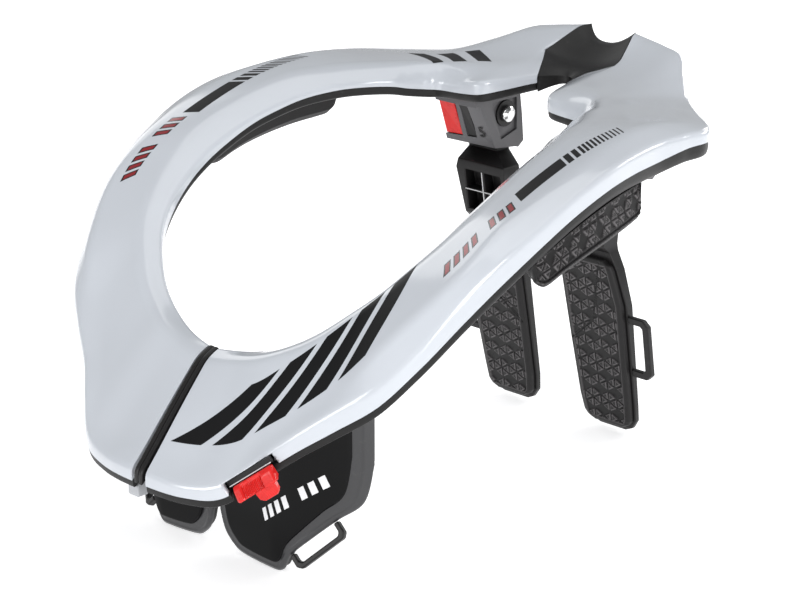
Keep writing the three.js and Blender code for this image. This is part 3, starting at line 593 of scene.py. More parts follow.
def saddle_shape(sizes):
    """The seam's section carried across to the other side as u goes from -1 to 1. Times 1 - |u|^power it
    sinks by SADDLE_DIP, its rear edge is drawn in by SADDLE_NOTCH and its neck side by SADDLE_DRAW."""
    row = ring_rows([RING_END])
    corners = shell_outer(row)[:, 1:6]
    r, z = rounded_line(corners, [0, 5, 8, 7, 0], 7, 8)[0].T
    dip = np.interp(r, corners[0, :, 0], [0.10, 0.25, 0.55, 0.95, 1])
    notch = np.interp(r, corners[0, :, 0], [0, 0, 0.1, 0.9, 1])
    row = {name: value[0] for name, value in row.items()}
    seam = ring_point(row, r, z)
    u = np.linspace(-1, 1, 61)[:, None]
    sag = 1 - np.abs(u) ** sizes.saddle_power
    arch = 1 - rim_share(row, r)
    x = (seam[:, 0] - SADDLE_GAP) * u
    y = seam[:, 1] + (SADDLE_DRAW * arch ** 2 - SADDLE_NOTCH * notch) * sag
    low = chassis_under(row, r, 1.0) + SADDLE_ARCH * arch * sag
    return slab(joined(x, y, z - SADDLE_DIP * dip * sag), joined(x, y, low))


def ring_wire(path, radius, sides=10):
    """A round wire along a line of points: circles square to the line."""
    tangent = unit(np.gradient(path, axis=0))
    up = np.cross(tangent, [0.0, 0.0, 1.0])
    up[np.linalg.norm(up, axis=1) < 1e-3] = [1.0, 0.0, 0.0]
    up = unit(up)
    turn = np.linspace(0, 2 * np.pi, sides, endpoint=False)[:, None]
    ring = np.cos(turn) * up[:, None] + np.sin(turn) * np.cross(tangent, up)[:, None]
    return tube(path[:, None] + radius * ring)


# Latch frame: the slot's own directions on the left shell's lip

LATCH_OUT = np.array([math.cos(math.radians(LATCH_ANGLE)), math.sin(math.radians(LATCH_ANGLE)), 0.0])
LATCH_AROUND = np.array([-LATCH_OUT[1], LATCH_OUT[0], 0.0])
LATCH_ALONG = (LATCH_AROUND * math.cos(math.radians(LATCH_SLOPE))
               + np.array([0.0, 0.0, 1.0]) * math.sin(math.radians(LATCH_SLOPE)))
LATCH_DOWN = np.cross(LATCH_ALONG, LATCH_OUT)


def latch_place(down, out, along):
    """Points from their three distances in the latch's frame."""
    row = rows_at(np.array([LATCH_ANGLE]))
    origin = ring_point(row, row["r_rim"], row["z_rim"])[0]
    return origin + joined(down, out, along) @ np.array([LATCH_DOWN, LATCH_OUT, LATCH_ALONG])


def slot_tool(early, depth):
    """The block cut out of the lip for the slot."""
    down = np.array([[-early, SLOT_REACH]])
    along = np.array([[-1], [1]]) * LATCH_LENGTH / 2
    return slab(latch_place(down, -depth, along), latch_place(down, SLOT_REACH, along))


def closed_round(points, radii, steps=5):
    """A closed outline with rounded corners, as rounded_line does for an open one."""
    points = np.array(points, float)
    seam = 0.5 * (points[-1:] + points[:1])
    return rounded_line(np.concatenate([seam, points, seam])[None], [0, *radii, 0], steps, 3)[0][:-1]


def end_taper(along, length, reach):
    """1 along a bar, and the root of the distance in reaches near its two ends."""
    return np.sqrt(np.clip((length / 2 - np.abs(along)) / reach, 0, 1))


def lever_shapes():
    """The lever's outline carried along the slot. Its outer face is hollowed in the middle, where fine
    ribs run down it, and its two ends are chamfered. The tongue has slanted ribs."""
    top = LATCH_BAND + 0.5
    low = top + LEVER_HEIGHT
    root = low - 0.6
    ring = closed_round([
        [top, -2.4], [top, 0.6], [top + 2, 2.2], [low - 1, 4.2], [low, 3.8], [low, 0.8], [low - 2.5, -2.4],
    ], [0.4, 0.5, 0.8, 0.7, 0.4, 0.6, 0.5])
    along = np.linspace(-LEVER_LENGTH / 2, LEVER_LENGTH / 2, 260)[:, None]
    ends = end_taper(along, LEVER_LENGTH, 1.2)
    hollow = smoothstep(7.6, 6.4, np.abs(along + 1.5))
    facing = smoothstep(0.2, 1.6, ring[:, 1]) * smoothstep(top + 0.6, top + 2.4, ring[:, 0])
    out = ring[:, 1] - facing * hollow * (1.5 - 0.55 * wave(along, 1.05))
    centre = ring.mean(0)
    down = lerp(centre[0], ring[:, 0], lerp(0.82, 1, ends))
    bar = latch_place(down, lerp(centre[1], out, lerp(0.72, 1, ends)), along + LEVER_SHIFT)
    tip = low + TONGUE_HEIGHT
    flat = closed_round([[root, 1], [root, 3.6], [tip, 3.4], [tip, 1.4]], [0.3, 0.5, 1.0, 0.9], 6)
    along = np.linspace(-TONGUE_WIDTH / 2, TONGUE_WIDTH / 2, 200)[:, None]
    down = lerp(root, flat[:, 0], lerp(0.55, 1, end_taper(along, TONGUE_WIDTH, 2.6)))
    ridge = 0.3 * wave(along + 0.55 * flat[:, 0], 1.3) * smoothstep(2.6, 3.2, flat[:, 1])
    tongue = latch_place(down, flat[:, 1] - 0.3 + ridge, along + TONGUE_SHIFT)
    return tube(bar), tube(tongue)


# Chest plates

def chest_surface(x, z):
    """y of the plate's face: flat to CHEST_FLAT, a parabola beyond it, and tucked in towards the floor."""
    curl = np.maximum(0, 1 - z / (CHEST_HEIGHT / 4))
    bent = np.maximum(0, x - CHEST_FLAT)
    return -CHEST_FRONT + bent ** 2 / CHEST_BEND + CHEST_TUCK * curl ** 2


def chest_under(x, depth):
    """z of the chassis underside over a plate's point, less its gap."""
    y = chest_surface(x, CHEST_HEIGHT) + depth
    row = rows_at(np.degrees(np.arctan2(y, x)))
    return chassis_under(row, np.maximum(np.hypot(x, y), row["r_in"]), 0.0) - SEAT * 1.5


def chest_grid(depth, inset, columns=90, levels=60):
    """x and z of a plate's points, from its lower outline up to the chassis, closer towards its edges,
    and each point's distance in mm from the outline."""
    share, low, high = curve_through(CHEST_ROWS, crowded(columns, 0.06) * (len(CHEST_ROWS) - 1)).T
    first = CHEST_ROWS[0, 0]
    x = lerp(first * CHEST_REACH + inset, CHEST_REACH - inset, (share - first) / (1 - first))
    bottom = low * CHEST_HEIGHT + inset
    top = np.minimum(chest_under(x, depth), high * CHEST_HEIGHT) - inset / 2
    plan = joined(x, lerp(bottom, top, crowded(levels, 0.09)[:, None]))
    edge = np.concatenate([plan[:0:-1, 0], plan[0], plan[1:, -1]])
    a, way = edge[:-1], np.diff(edge, axis=0)
    p = plan.reshape(-1, 1, 2)
    t = np.clip(np.einsum("pki,ki->pk", p - a, way) / np.maximum((way ** 2).sum(1), 1e-9), 0, 1)
    distance = np.linalg.norm(a + t[..., None] * way - p, axis=-1).min(1)
    return plan[..., 0], plan[..., 1], distance.reshape(plan.shape[:2])


def plate_shape(near, far, inset, relief, back_round=1.0):
    """A plate between two depths behind the chest surface. relief gives how far the face stands out at
    each distance from the outline; the back is rounded off towards the edge."""
    x, z, distance = chest_grid(near, inset)
    y = chest_surface(x, z)
    fall = back_round * (1 - smoothstep(0, back_round * 1.5, distance))
    return slab(joined(x, y + near - relief(distance), z), joined(x, y + far - fall, z))


def edge_round(radius):
    """How far a face falls back within radius of its edge: a quarter circle."""
    return lambda d: np.sqrt(np.maximum(radius ** 2 - np.maximum(radius - d, 0) ** 2, 0)) - radius


# Pads

def triangle_relief(a, b, side):
    """Heights and edges, both 0 to 1, of small raised triangles. In skewed coordinates each cell is split
    in two, height rises with the distance to the nearest of its three edges, and a count of cells
    leaves two in seven of them flat."""
    v = b / (side * 0.866)
    u = a / side - v / 2
    fu, fv = np.mod(u, 1), np.mod(v, 1)
    lower = fu + fv < 1
    inside = np.where(lower, np.minimum(np.minimum(fu, fv), 1 - fu - fv),
                      np.minimum(np.minimum(1 - fu, 1 - fv), fu + fv - 1))
    there = np.mod(np.floor(u) * 3 + np.floor(v) * 5 + lower * 2, 7) > 1.5
    height = smoothstep(0.07, 0.13, inside) * there
    # The second mask runs along the triangles' edges, where the pads get a painted highlight
    return height, height * smoothstep(0.22, 0.15, inside)


def edge_highlight_map(edge):
    """A UV map for a slab: the front's share of painted highlight along the relief's edges as its first part,
    and 0 on the back.
    """
    return np.concatenate([joined(edge, 0).reshape(-1, 2), np.zeros((edge.size, 2))])


def shoulder_shape(sizes):
    """A closed outline, round the pad's section, carried round the ring. Its outer side and underside
    carry raised triangles, and a groove and a row of beads run below the chassis."""
    rows = curve_through(SHOULDER_ROWS, np.linspace(0, len(SHOULDER_ROWS) - 1, sizes.pad_steps))
    inner, rim, share = np.moveaxis(rows[..., None], 1, 0)
    corners = np.array([[[0, 0], [0.012, 0.75], [0.08, 1], [0.5, 1], [0.93, 1], [0.99, 0.82], [1, 0]]])
    s, down = rounded_line(corners, [0, 0.03, 0.03, 0.1, 0.04, 0.03, 0], 9, 26)[0].T
    row = rows_at(lerp(inner, rim, s))
    outer = row["r_rim"] - SHOULDER_INSET
    r = lerp(row["r_in"] + SHOULDER_INSET + SHOULDER_DRAW * down, outer + SHOULDER_FLARE * share * down, s)
    ends = np.linspace(0, 1, sizes.pad_steps)[:, None]
    closing = np.sqrt(np.clip(np.minimum(ends, 1 - ends) / 0.03, 0.05, 1))
    depth = lerp(SHOULDER_INNER_DEPTH, SHOULDER_DEPTH, s) * down * share * closing
    top = chassis_under(row, np.minimum(r, outer)) - SEAT
    loop = ring_point(row, r, top - depth)
    arc, around = walked(loop[:, len(s) // 2])[:, None], walked(loop[len(loop) // 2])
    raised, edge = triangle_relief(arc, around, sizes.triangle_side)
    reach = smoothstep(0, 0.05, ends) * smoothstep(0, 0.05, 1 - ends)
    outside = smoothstep(0.95, 0.985, s)
    wall = outside * smoothstep(0.12, 0.2, down) * smoothstep(0.76, 0.7, down)
    under = smoothstep(0.98, 1.0, down) * smoothstep(0.12, 0.2, s) * smoothstep(0.9, 0.84, s)
    beads = hill(down, 0.86, 0.03) * wave(arc, 2.6) * outside * reach
    height = sizes.relief_height * (raised - 1) * (wall + under) * reach
    height = height - 1.1 * hill(down, 0.78, 0.03) * outside * reach + 0.5 * beads
    normal = unit(np.cross(np.gradient(loop, axis=0), np.gradient(loop, axis=1)))
    normal *= np.sign(((loop - loop.mean(1, keepdims=True)) * normal).sum(-1, keepdims=True))
    front = loop + normal * height[..., None]
    back = ring_point(row, r, top)
    back[:, 0], back[:, -1] = front[:, 0], front[:, -1]
    # The UV map holds the painted highlight along the triangles' edges and on the beads
    return slab(front, back), edge_highlight_map(np.maximum(edge * (wall + under), 0.6 * beads) * reach)


def strut_plane(z):
    return BOLT_BACK - STRUT_FACE + STRUT_LEAN * (BOLT_HEIGHT - z)


def strut_rows(z):
    """The strut's front, inner and outer sides at heights z, straight between its table's rows."""
    front, x_in, x_out = (np.interp(z / STRUT_TOP, STRUT_ROWS[:, 0], STRUT_ROWS[:, k]) for k in (1, 2, 3))
    return front, x_in * STRUT_REACH, x_out * STRUT_REACH


def rib_highlight_lines():
    """Painted highlights along the cross of ribs in a strut's box: pale lines, one across it and one up it.
    """
    low, high = STRUT_TOP * BOX_LOW + POCKET_WALL, STRUT_TOP * BOX_HIGH
    _, x_in, x_out = strut_rows(np.array([low, high]))
    left, right = x_in.max() + POCKET_WALL, x_out.min() - POCKET_WALL
    share = np.linspace(0, 1, 12)
    lines = {"rib_across": (lerp(left, right, share), (low + high) / 2),
             "rib_up": ((left + right) / 2, lerp(low, high, share))}
    return {name: joined(x, strut_plane(z) + strut_rows(z)[0] - RIB_HIGHLIGHT_RADIUS * 1.1, z)
            for name, (x, z) in lines.items()}


def strut_pad_shape(sizes):
    """A crowned pad over the strut's plane: its face falls back by a quarter circle at its outline, is
    crossed by one bent groove, and carries raised triangles inside a plain border."""
    z_low, z_high = PAD_LOW * STRUT_TOP, PAD_HIGH * STRUT_TOP
    z = lerp(z_low, z_high, crowded(sizes.pad_steps, 0.05))[:, None]
    _, x_in, x_out = strut_rows(z)
    v = np.linspace(0, 1, sizes.pad_steps)[:, None]
    inset = STRUT_PAD_INSET + 3.5 * (1 - smoothstep(0, 0.045, np.minimum(v, 1 - v)))
    low, high = x_in + inset, x_out - inset
    x = lerp(low, high, crowded(110, 0.07))
    d = np.minimum(np.minimum(x - low, high - x), np.minimum(z - z_low, z_high - z))
    crown = 2.2 * (1 - np.sqrt(np.clip(1 - (1 - np.clip(d / 5, 0, 1)) ** 2, 0, 1)))
    right, above = x - sizes.groove_x, z - sizes.groove_z
    upright = np.where(above > 0, np.abs(right - 0.255 * above), 99)
    slanted = np.where(right < 0, np.abs(above - 0.83 * right) * 0.77, 99)
    groove = hill(np.minimum(upright, slanted), 0, 0.7)
    border = smoothstep(3.2, 4.4, d) * (1 - smoothstep(0.1, 0.5, groove))
    raised, edge = triangle_relief(z, x, sizes.triangle_side)
    relief = sizes.relief_height * (1 - raised) * border + 1.1 * groove * smoothstep(0.5, 2.5, d)
    front = joined(x, strut_plane(z) + crown + relief, z)
    back = joined(x, strut_plane(z) + STRUT_PAD_DEPTH, z)
    # The UV map holds the painted highlight along the triangles' edges and along the border's line
    return slab(front, back), edge_highlight_map(np.maximum(edge * border, 0.5 * hill(d, 3.4, 0.5)))


def bracket_face(x, z):
    """y of a bracket's front wall, straight between its lower and upper edges."""
    share = (x - BRACKET_IN) / (BRACKET_OUT - BRACKET_IN)
    low_y, low_z = lerp(BRACKET_LOW_IN, BRACKET_LOW_OUT, share)
    high_y, high_z = lerp(BRACKET_HIGH_IN, BRACKET_HIGH_OUT, share)
    return BOLT_BACK + lerp(low_y, high_y, (z - BOLT_HEIGHT - low_z) / (high_z - low_z))


def bracket_digit(side):
    """The raised figure on a bracket's front wall, beside the gauge windows."""
    curve = bpy.data.curves.new("figure", "FONT")
    curve.body = "5"
    curve.size = DIGIT_HEIGHT * 1.4 / 1000
    curve.extrude = 0.00015
    curve.align_x = "CENTER"
    work = link("figure", curve)
    bpy.context.view_layer.update()
    mesh = bpy.data.meshes.new_from_object(work.evaluated_get(bpy.context.evaluated_depsgraph_get()))
    bpy.data.objects.remove(work)
    x = SIDES[side] * DIGIT_X
    foot, top = (to_frame([x, bracket_face(DIGIT_X, z), z]) for z in (DIGIT_Z, DIGIT_Z + 1))
    across, up = Vector((1, 0, 0)), Vector(top - foot).normalized()
    mesh.transform(Matrix.Translation(foot) @ Matrix((across, up, across.cross(up))).transposed().to_4x4())
    place_piece(f"bracket_figure_{side}", mesh, "dark")


# Finishes

def math_node(operation, order=1):
    """A method that adds a Math node, with the two values swapped if order is -1."""
    def method(self, *others):
        inputs = dict(enumerate((self, *others)[::order]))
        return self.finish.node("ShaderNodeMath", {"operation": operation}, inputs)
    return method


class Value:
    """A socket in a material, so that sums on it add the Math nodes that work them out."""

    def __init__(self, finish, socket):
        self.finish = finish
        self.socket = socket

    __add__ = __radd__ = math_node("ADD")
    __sub__ = math_node("SUBTRACT")
    __rsub__ = math_node("SUBTRACT", -1)
    __mul__ = __rmul__ = math_node("MULTIPLY")
    __mod__ = math_node("FLOORED_MODULO")
    __gt__ = math_node("GREATER_THAN")
    __lt__ = math_node("LESS_THAN")
    __abs__ = math_node("ABSOLUTE")
    maximum = math_node("MAXIMUM")

    def between(self, low, high):
        """1 where the value lies between two others."""
        return (self > low) * (self < high)


class Finish:
    """A material's nodes. node() adds one of any type: its settings first, then its sockets' values or
    links, and gives back its first output or the one named by output."""

    def __init__(self, name, **shader):
        self.material = bpy.data.materials.new(name)
        self.material.use_nodes = True
        self.tree = self.material.node_tree
        self.tree.nodes.clear()
        self.shader = self.tree.nodes.new("ShaderNodeBsdfPrincipled")
        target = self.tree.nodes.new("ShaderNodeOutputMaterial")
        self.tree.links.new(self.shader.outputs[0], target.inputs[0])
        for socket, value in shader.items():
            self.feed(self.shader.inputs[socket.replace("_", " ")], value)
        self.position = self.node("ShaderNodeTexCoord", output="Object")

    def feed(self, socket, value):
        if isinstance(value, Value):
            self.tree.links.new(value.socket, socket)
        elif socket.type == "RGBA" and len(value) == 3:
            socket.default_value = (*value, 1)
        else:
            socket.default_value = value

    def node(self, kind, settings=None, inputs=None, output=0):
        made = self.tree.nodes.new(kind)
        for name, value in (settings or {}).items():
            setattr(made, name, value)
        for name, value in (inputs or {}).items():
            self.feed(made.inputs[name], value)
        return Value(self, made.outputs[output])

    def split(self, vector):
        """The three parts of a vector, in millimetres where it is a position."""
        parts = self.node("ShaderNodeSeparateXYZ", inputs={0: vector}).socket.node
        return [Value(self, parts.outputs[k]) * 1000 for k in range(3)]

    def noise(self, scale, detail=3.0, rough=0.5, stretch=None):
        """Noise from 0 to 1 with about scale lumps a metre."""
        place = self.position
        if stretch:
            place = self.node("ShaderNodeMapping", inputs={"Vector": place, "Scale": stretch})
        return self.node("ShaderNodeTexNoise", inputs={
            "Vector": place, "Scale": scale, "Detail": detail, "Roughness": rough})

    def mix(self, share, first, second):
        """The colour from first to second by share."""
        made = self.tree.nodes.new("ShaderNodeMix")
        made.data_type = "RGBA"
        for name, value in (("Factor", share), ("A", first), ("B", second)):
            sockets = [s for s in made.inputs if s.name == name and s.enabled]
            self.feed(sockets[0], value)
        return Value(self, [s for s in made.outputs if s.enabled][0])

    def done(self, colour, rough, height, depth, strength):
        """The material, once its colour, roughness and bumps, with their depth in metres, are fed."""
        bumps = {"Height": height, "Distance": depth, "Strength": strength}
        last = {"Base Color": colour, "Roughness": rough, "Normal": self.node("ShaderNodeBump", inputs=bumps)}
        for socket, value in last.items():
            self.feed(self.shader.inputs[socket], value)
        return self.material


def shaded(colour, share):
    """A colour made lighter or darker, in plain numbers."""
    return tuple(min(1.0, part * share) for part in colour)


def bars(lean, pitch, width, *runs):
    """1 on bars of that width, one at each pitch along lean, within the runs (start, end)."""
    inside = lean.between(*runs[0])
    for run in runs[1:]:
        inside = inside.maximum(lean.between(*run))
    return inside * ((lean % pitch) < width)


def shell_finish(name, paint, sizes, front_marks, rear_marks):
    """Gloss white with a faint orange peel, a bar with dashes along each arm, small red tags ahead of
    it, and, where asked, broad slanted bars at the front and at the rear. Ink has no clear coat."""
    finish = Finish(name, Coat_Roughness=0.13, Specular_IOR_Level=0.2)
    x, y, _ = finish.split(finish.position)
    off = abs(x) - (ARM_LANE - (y - ARM_LANE_Y) * (y - ARM_LANE_Y) * ARM_LANE_BOW)
    slant = y + off * 0.55
    blocks = slant.between(0.8, 5.2).maximum(slant.between(7.0, 10.6))
    dash = slant - 12.4
    dashes = slant.between(12.4, 47) * ((dash % 3.3) < (2.2 - dash * 0.03))
    ink = off.between(-4.3, 4.3) * slant.between(-36, -1).maximum(blocks).maximum(dashes)
    along, across, _ = finish.split(finish.node("ShaderNodeUVMap"))
    if front_marks:
        lean = along + across * 1.08 - sizes.mark_start
        tall = (across + (along - 10) * 0.06).between(-10.5, 21)
        ink = ink.maximum(tall * bars(lean, 22.6, 16.4, (0, 107)))
    if rear_marks:
        lean = along + across * 0.8 - sizes.rear_mark_start
        ink = ink.maximum(across.between(-19, 7) * bars(lean, 15, 8.5, (0, 43)))
    lean = along + across * 0.35 - sizes.arm_mark_start
    tags = across.between(0.6, 8.6) * bars(lean, 6.5, 4.6, (0, 25.9), (32.5, 51.9))
    core = tags * across.between(1.5, 7.7) * (((lean - 0.9) % 6.5) < 2.8)
    body = finish.mix(finish.noise(9, 2) * 0.5, paint["shell"], shaded(paint["shell"], 0.95))
    body = finish.mix(ink.maximum(tags), body, paint["ink"])
    finish.feed(finish.shader.inputs["Coat Weight"], 1 - ink)
    rough = 0.15 + 0.1 * finish.noise(220, 6, 0.7, (1, 3, 1)) + 0.25 * ink
    return finish.done(finish.mix(core, body, paint["mark"]), rough, finish.noise(420, 2), 0.00003, 0.35)


def grained_finish(name, colour, rough, grain, depth, coat):
    """Moulded plastic: fine grain in its surface, slow shade changes and paler scuffs."""
    finish = Finish(name, Coat_Weight=coat, Coat_Roughness=0.12, Specular_IOR_Level=0.3)
    slow = finish.noise(28, 3)
    scuff = {"Value": finish.noise(170, 8, 0.75), "From Min": 0.58, "From Max": 0.8}
    worn = finish.node("ShaderNodeMapRange", inputs=scuff)
    body = finish.mix(slow, shaded(colour, 0.86), shaded(colour, 1.14))
    body = finish.mix(worn * 0.25, body, tuple(0.55 * part + 0.09 for part in colour))
    return finish.done(body, rough - 0.05 + 0.1 * slow + 0.08 * worn, finish.noise(grain, 3, 0.6), depth, 0.6)


def foam_finish(name, colour):
    """Closed foam with a moulded skin: matt, with close pores, and a painted highlight along the edges of its
    relief, whose share the first part of the UV map holds."""
    finish = Finish(name, Specular_IOR_Level=0.3)
    pores = finish.node("ShaderNodeTexVoronoi", inputs={"Vector": finish.position, "Scale": 1500.0})
    edge = finish.split(finish.node("ShaderNodeUVMap"))[0]
    fine = finish.noise(900, 4, 0.6)
    body = finish.mix(finish.noise(40, 3), shaded(colour, 0.8), shaded(colour, 1.2))
    body = finish.mix(fine * 0.35, body, shaded(colour, 1.9))
    # Painted highlight: the relief's edges, as the UV map holds them, mixed far paler
    body = finish.mix(edge * 0.0008, body, shaded(colour, 20))
    return finish.done(body, 0.44 + 0.14 * fine, pores + fine, 0.00008, 0.6)


def gloss_finish(name, colour, light):
    """Black gloss with a few pale slanted bars, hairline scratches and dust."""
    finish = Finish(name, Coat_Weight=0.3, Coat_Roughness=0.03, Specular_IOR_Level=0.0)
    x, _, z = finish.split(finish.position)
    rise = z - abs(x) * 0.74
    lean = abs(x) + rise * 0.25 - 39.5
    marks = rise.between(-1.6, 6.2) * bars(lean, 4.2, 2.5, (0, 15.9), (20, 33.4))
    dust = {"Value": finish.noise(600, 8, 0.7), "From Min": 0.66, "From Max": 0.8}
    speck = finish.node("ShaderNodeMapRange", inputs=dust)
    body = finish.mix(marks, finish.mix(speck * 0.12, colour, (0.3, 0.3, 0.31)), light)
    rough = 0.12 + 0.1 * finish.noise(90, 6, 0.7, (1, 9, 1)) + 0.2 * marks
    return finish.done(body, rough, finish.noise(300, 2), 0.00003, 0.3)


def red_finish(name, colour):
    """Clear red plastic, its tone changing slowly at random."""
    finish = Finish(name, Coat_Weight=0.25, Coat_Roughness=0.06, Specular_IOR_Level=0.2)
    slow = finish.noise(160, 3)
    bright = (min(1, colour[0] * 1.25), colour[1] * 1.6, colour[2] * 1.3)
    body = finish.mix(slow, shaded(colour, 0.75), bright)
    return finish.done(body, 0.22 + 0.12 * slow, finish.noise(1200, 3), 0.00003, 0.4)


def steel_finish(name, colour):
    """Bright plated steel with fine turning marks round the bolt's axis."""
    finish = Finish(name, Metallic=1.0)
    fine = finish.noise(1800, 3, 0.6, (0.15, 1, 1))
    return finish.done(finish.mix(fine, shaded(colour, 0.8), colour), 0.12 + 0.16 * fine, fine, 0.00002, 0.4)


def floor_finish(name, colour):
    """Plain pale paint, very slightly mottled."""
    finish = Finish(name, Emission_Color=colour, Emission_Strength=0.6)
    body = finish.mix(finish.noise(3, 2), colour, shaded(colour, 0.985))
    finish.feed(finish.shader.inputs["Base Color"], body)
    finish.feed(finish.shader.inputs["Roughness"], 0.6 + 0.1 * finish.noise(6, 2))
    return finish.material


# Settings

def size_setting(name, words, default, kind=FloatProperty):
    return kind(name=name, description=words, default=default)


class BraceSizes(bpy.types.PropertyGroup):
    """Sizes of what the scene adds to the frame, in millimetres unless they count something."""

    shell_steps: size_setting("Ring steps", "Stations between two rows of the ring", 12, IntProperty)
    lip_round: size_setting("Lip round", "Rounding of the neck side's lip", 2.6)
    crest_round: size_setting("Crest round", "Rounding of the inner crease", 7.0)
    mid_round: size_setting("Middle round", "Rounding of the middle crease", 16.0)
    edge_round: size_setting("Edge round", "Rounding of the outer crease", 4.5)
    rim_round: size_setting("Rim round", "Rounding above the skirt", 3.0)
    saddle_power: size_setting("Saddle power", "How square the saddle's valley is", 2.4)
    pad_steps: size_setting("Pad steps", "Stations along a pad", 240, IntProperty)
    triangle_side: size_setting("Triangle side", "Side of a raised triangle", 7.0)
    relief_height: size_setting("Relief height", "Height of the raised triangles", 1.0)
    groove_x: size_setting("Groove place", "Where a strut pad's groove bends", 38.0)
    groove_z: size_setting("Groove height", "Height of the groove's bend", 76.8)
    mark_start: size_setting("Front marks", "Front seam to the first slanted bar", 27.0)
    rear_mark_start: size_setting("Rear marks", "Front seam to the rear bars", 374.0)
    arm_mark_start: size_setting("Arm marks", "Front seam to the arm's red marks", 168.5)


def colour_setting(name, words, default):
    return FloatVectorProperty(name=name, description=words, default=default, subtype="COLOR", min=0, max=1)


class BraceColours(bpy.types.PropertyGroup):
    """Colours of the finishes."""

    shell: colour_setting("Shell", "Gloss shells", (0.50, 0.525, 0.565))
    ink: colour_setting("Ink", "Printed bars", (0.003, 0.003, 0.0035))
    mark: colour_setting("Mark", "Small printed marks", (0.22, 0.004, 0.008))
    chassis: colour_setting("Chassis", "Satin chassis", (0.006, 0.0057, 0.0057))
    dark: colour_setting("Dark", "Struts, strips and loops", (0.009, 0.0083, 0.0086))
    rim: colour_setting("Rim", "Frames of the chest plates", (0.034, 0.034, 0.036))
    panel: colour_setting("Panel", "Gloss chest panels", (0.001, 0.001, 0.0012))
    pad: colour_setting("Pad", "Foam pads", (0.008, 0.0075, 0.0077))
    bracket: colour_setting("Bracket", "Strut brackets", (0.10, 0.098, 0.103))
    red: colour_setting("Red", "Latch and gauge", (0.60, 0.012, 0.012))
    steel: colour_setting("Steel", "Bolts", (0.80, 0.80, 0.80))
    tab: colour_setting("Catch", "Front catch", (0.42, 0.43, 0.45))
    # The line colour is also that of the painted highlights along the strut boxes' ribs
    line: colour_setting("Line", "Thin pale lines", (0.6, 0.6, 0.61))
    floor: colour_setting("Floor", "Studio floor", (0.93, 0.93, 0.935))


class BraceStudio(bpy.types.PropertyGroup):
    """Camera and lights."""

    lens: size_setting("Lens", "Focal length in millimetres on a 36 mm sensor", 117.0)
    distance: FloatProperty(name="Distance", description="Camera to target", unit="LENGTH", default=1.4365)
    azimuth: FloatProperty(name="Azimuth", description="From straight ahead, towards the wearer's left",
                           subtype="ANGLE", default=math.radians(44.34))
    elevation: FloatProperty(name="Elevation", description="Above the horizon", subtype="ANGLE",
                             default=math.radians(18.46))
    target: FloatVectorProperty(name="Target", description="Point the camera looks at", subtype="XYZ",
                                default=(0.0, 0.005996, 0.10508))
    sky: size_setting("Sky", "Strength of the even light", 0.4)
    key: size_setting("Key", "Power in watts that each softbox has a share of", 15.0)


# Operators

def finishes():
    """Every finish by name, made once."""
    made = finishes.made
    if not made:
        scene = bpy.context.scene
        paint = {name: tuple(getattr(scene.brace_colours, name)) for name in BraceColours.__annotations__}
        for name, (label, *wear) in GRAINED.items():
            made[name] = grained_finish(label, paint[name], *wear)
        made["shell_left"] = shell_finish("shell_gloss_left", paint, scene.brace_sizes, True, False)
        made["shell_right"] = shell_finish("shell_gloss_right", paint, scene.brace_sizes, False, True)
        made["panel"] = gloss_finish("panel_gloss", paint["panel"], (0.75, 0.75, 0.76))
        made["pad"] = foam_finish("pad_foam", paint["pad"])
        made["red"] = red_finish("red_clear", paint["red"])
        made["steel"] = steel_finish("bolt_steel", paint["steel"])
        made["floor"] = floor_finish("floor_pale", paint["floor"])
    return made


finishes.made = {}


class OBJECT_OT_brace_shells(bpy.types.Operator):
    """Build the two gloss shells and the dark strips along the front seam"""

    bl_idname = "object.brace_shells"
    bl_label = "Shells"

    def execute(self, context):
        sizes = context.scene.brace_sizes
        (points, faces), uv = shell_shape(sizes)
        for side, sign in SIDES.items():
            name = f"shell_{side}"
            mesh = new_mesh(f"{name}_skin", to_frame(points * [sign, 1, 1]), faces, uv, 50)
            piece = place_piece(f"{name}_skin", mesh, name, "brace", (name,), "shell")
            if side == "left":
                carved(piece, slot_tool(0, SLOT_REACH / 3))
        add_pair("seam_strip_band", seam_strip_shape(sizes), "dark", "seam_strip")
        return {"FINISHED"}


class OBJECT_OT_brace_chassis(bpy.types.Operator):
    """Build the dark chassis, the saddle over the rear seam and the front catch"""

    bl_idname = "object.brace_chassis"
    bl_label = "Chassis and saddle"

    def execute(self, context):
        sizes = context.scene.brace_sizes
        halves = add_pair("chassis_ring", chassis_shape(sizes), "chassis", "chassis")
        carved(halves[0], slot_tool(2, SLOT_DEPTH))
        add_piece("saddle_bridge", saddle_shape(sizes), "chassis", stands_for=("saddle",))
        rounded_copy("front_catch", "tab", 0.8, "catch")
        return {"FINISHED"}


class OBJECT_OT_brace_latch(bpy.types.Operator):
    """Build the red lever with its ribs, the dark trim over it and the bright line between them"""

    bl_idname = "object.brace_latch"
    bl_label = "Latch"

    def execute(self, context):
        bar, tongue = lever_shapes()
        add_piece("latch_bar", bar, "red", body="latch_lever", stands_for=("latch_lever",))
        add_piece("latch_tongue", tongue, "red", body="latch_lever")
        rounded_copy("latch_trim", "dark", 0.35)
        along = np.linspace(-LATCH_LENGTH / 2 + 1, LATCH_LENGTH / 2 - 1, 24)
        path = latch_place(LATCH_BAND - LINE_RADIUS, -LINE_DEPTH, along)
        add_piece("latch_line", ring_wire(path, LINE_RADIUS), "line", slot="steel")
        return {"FINISHED"}


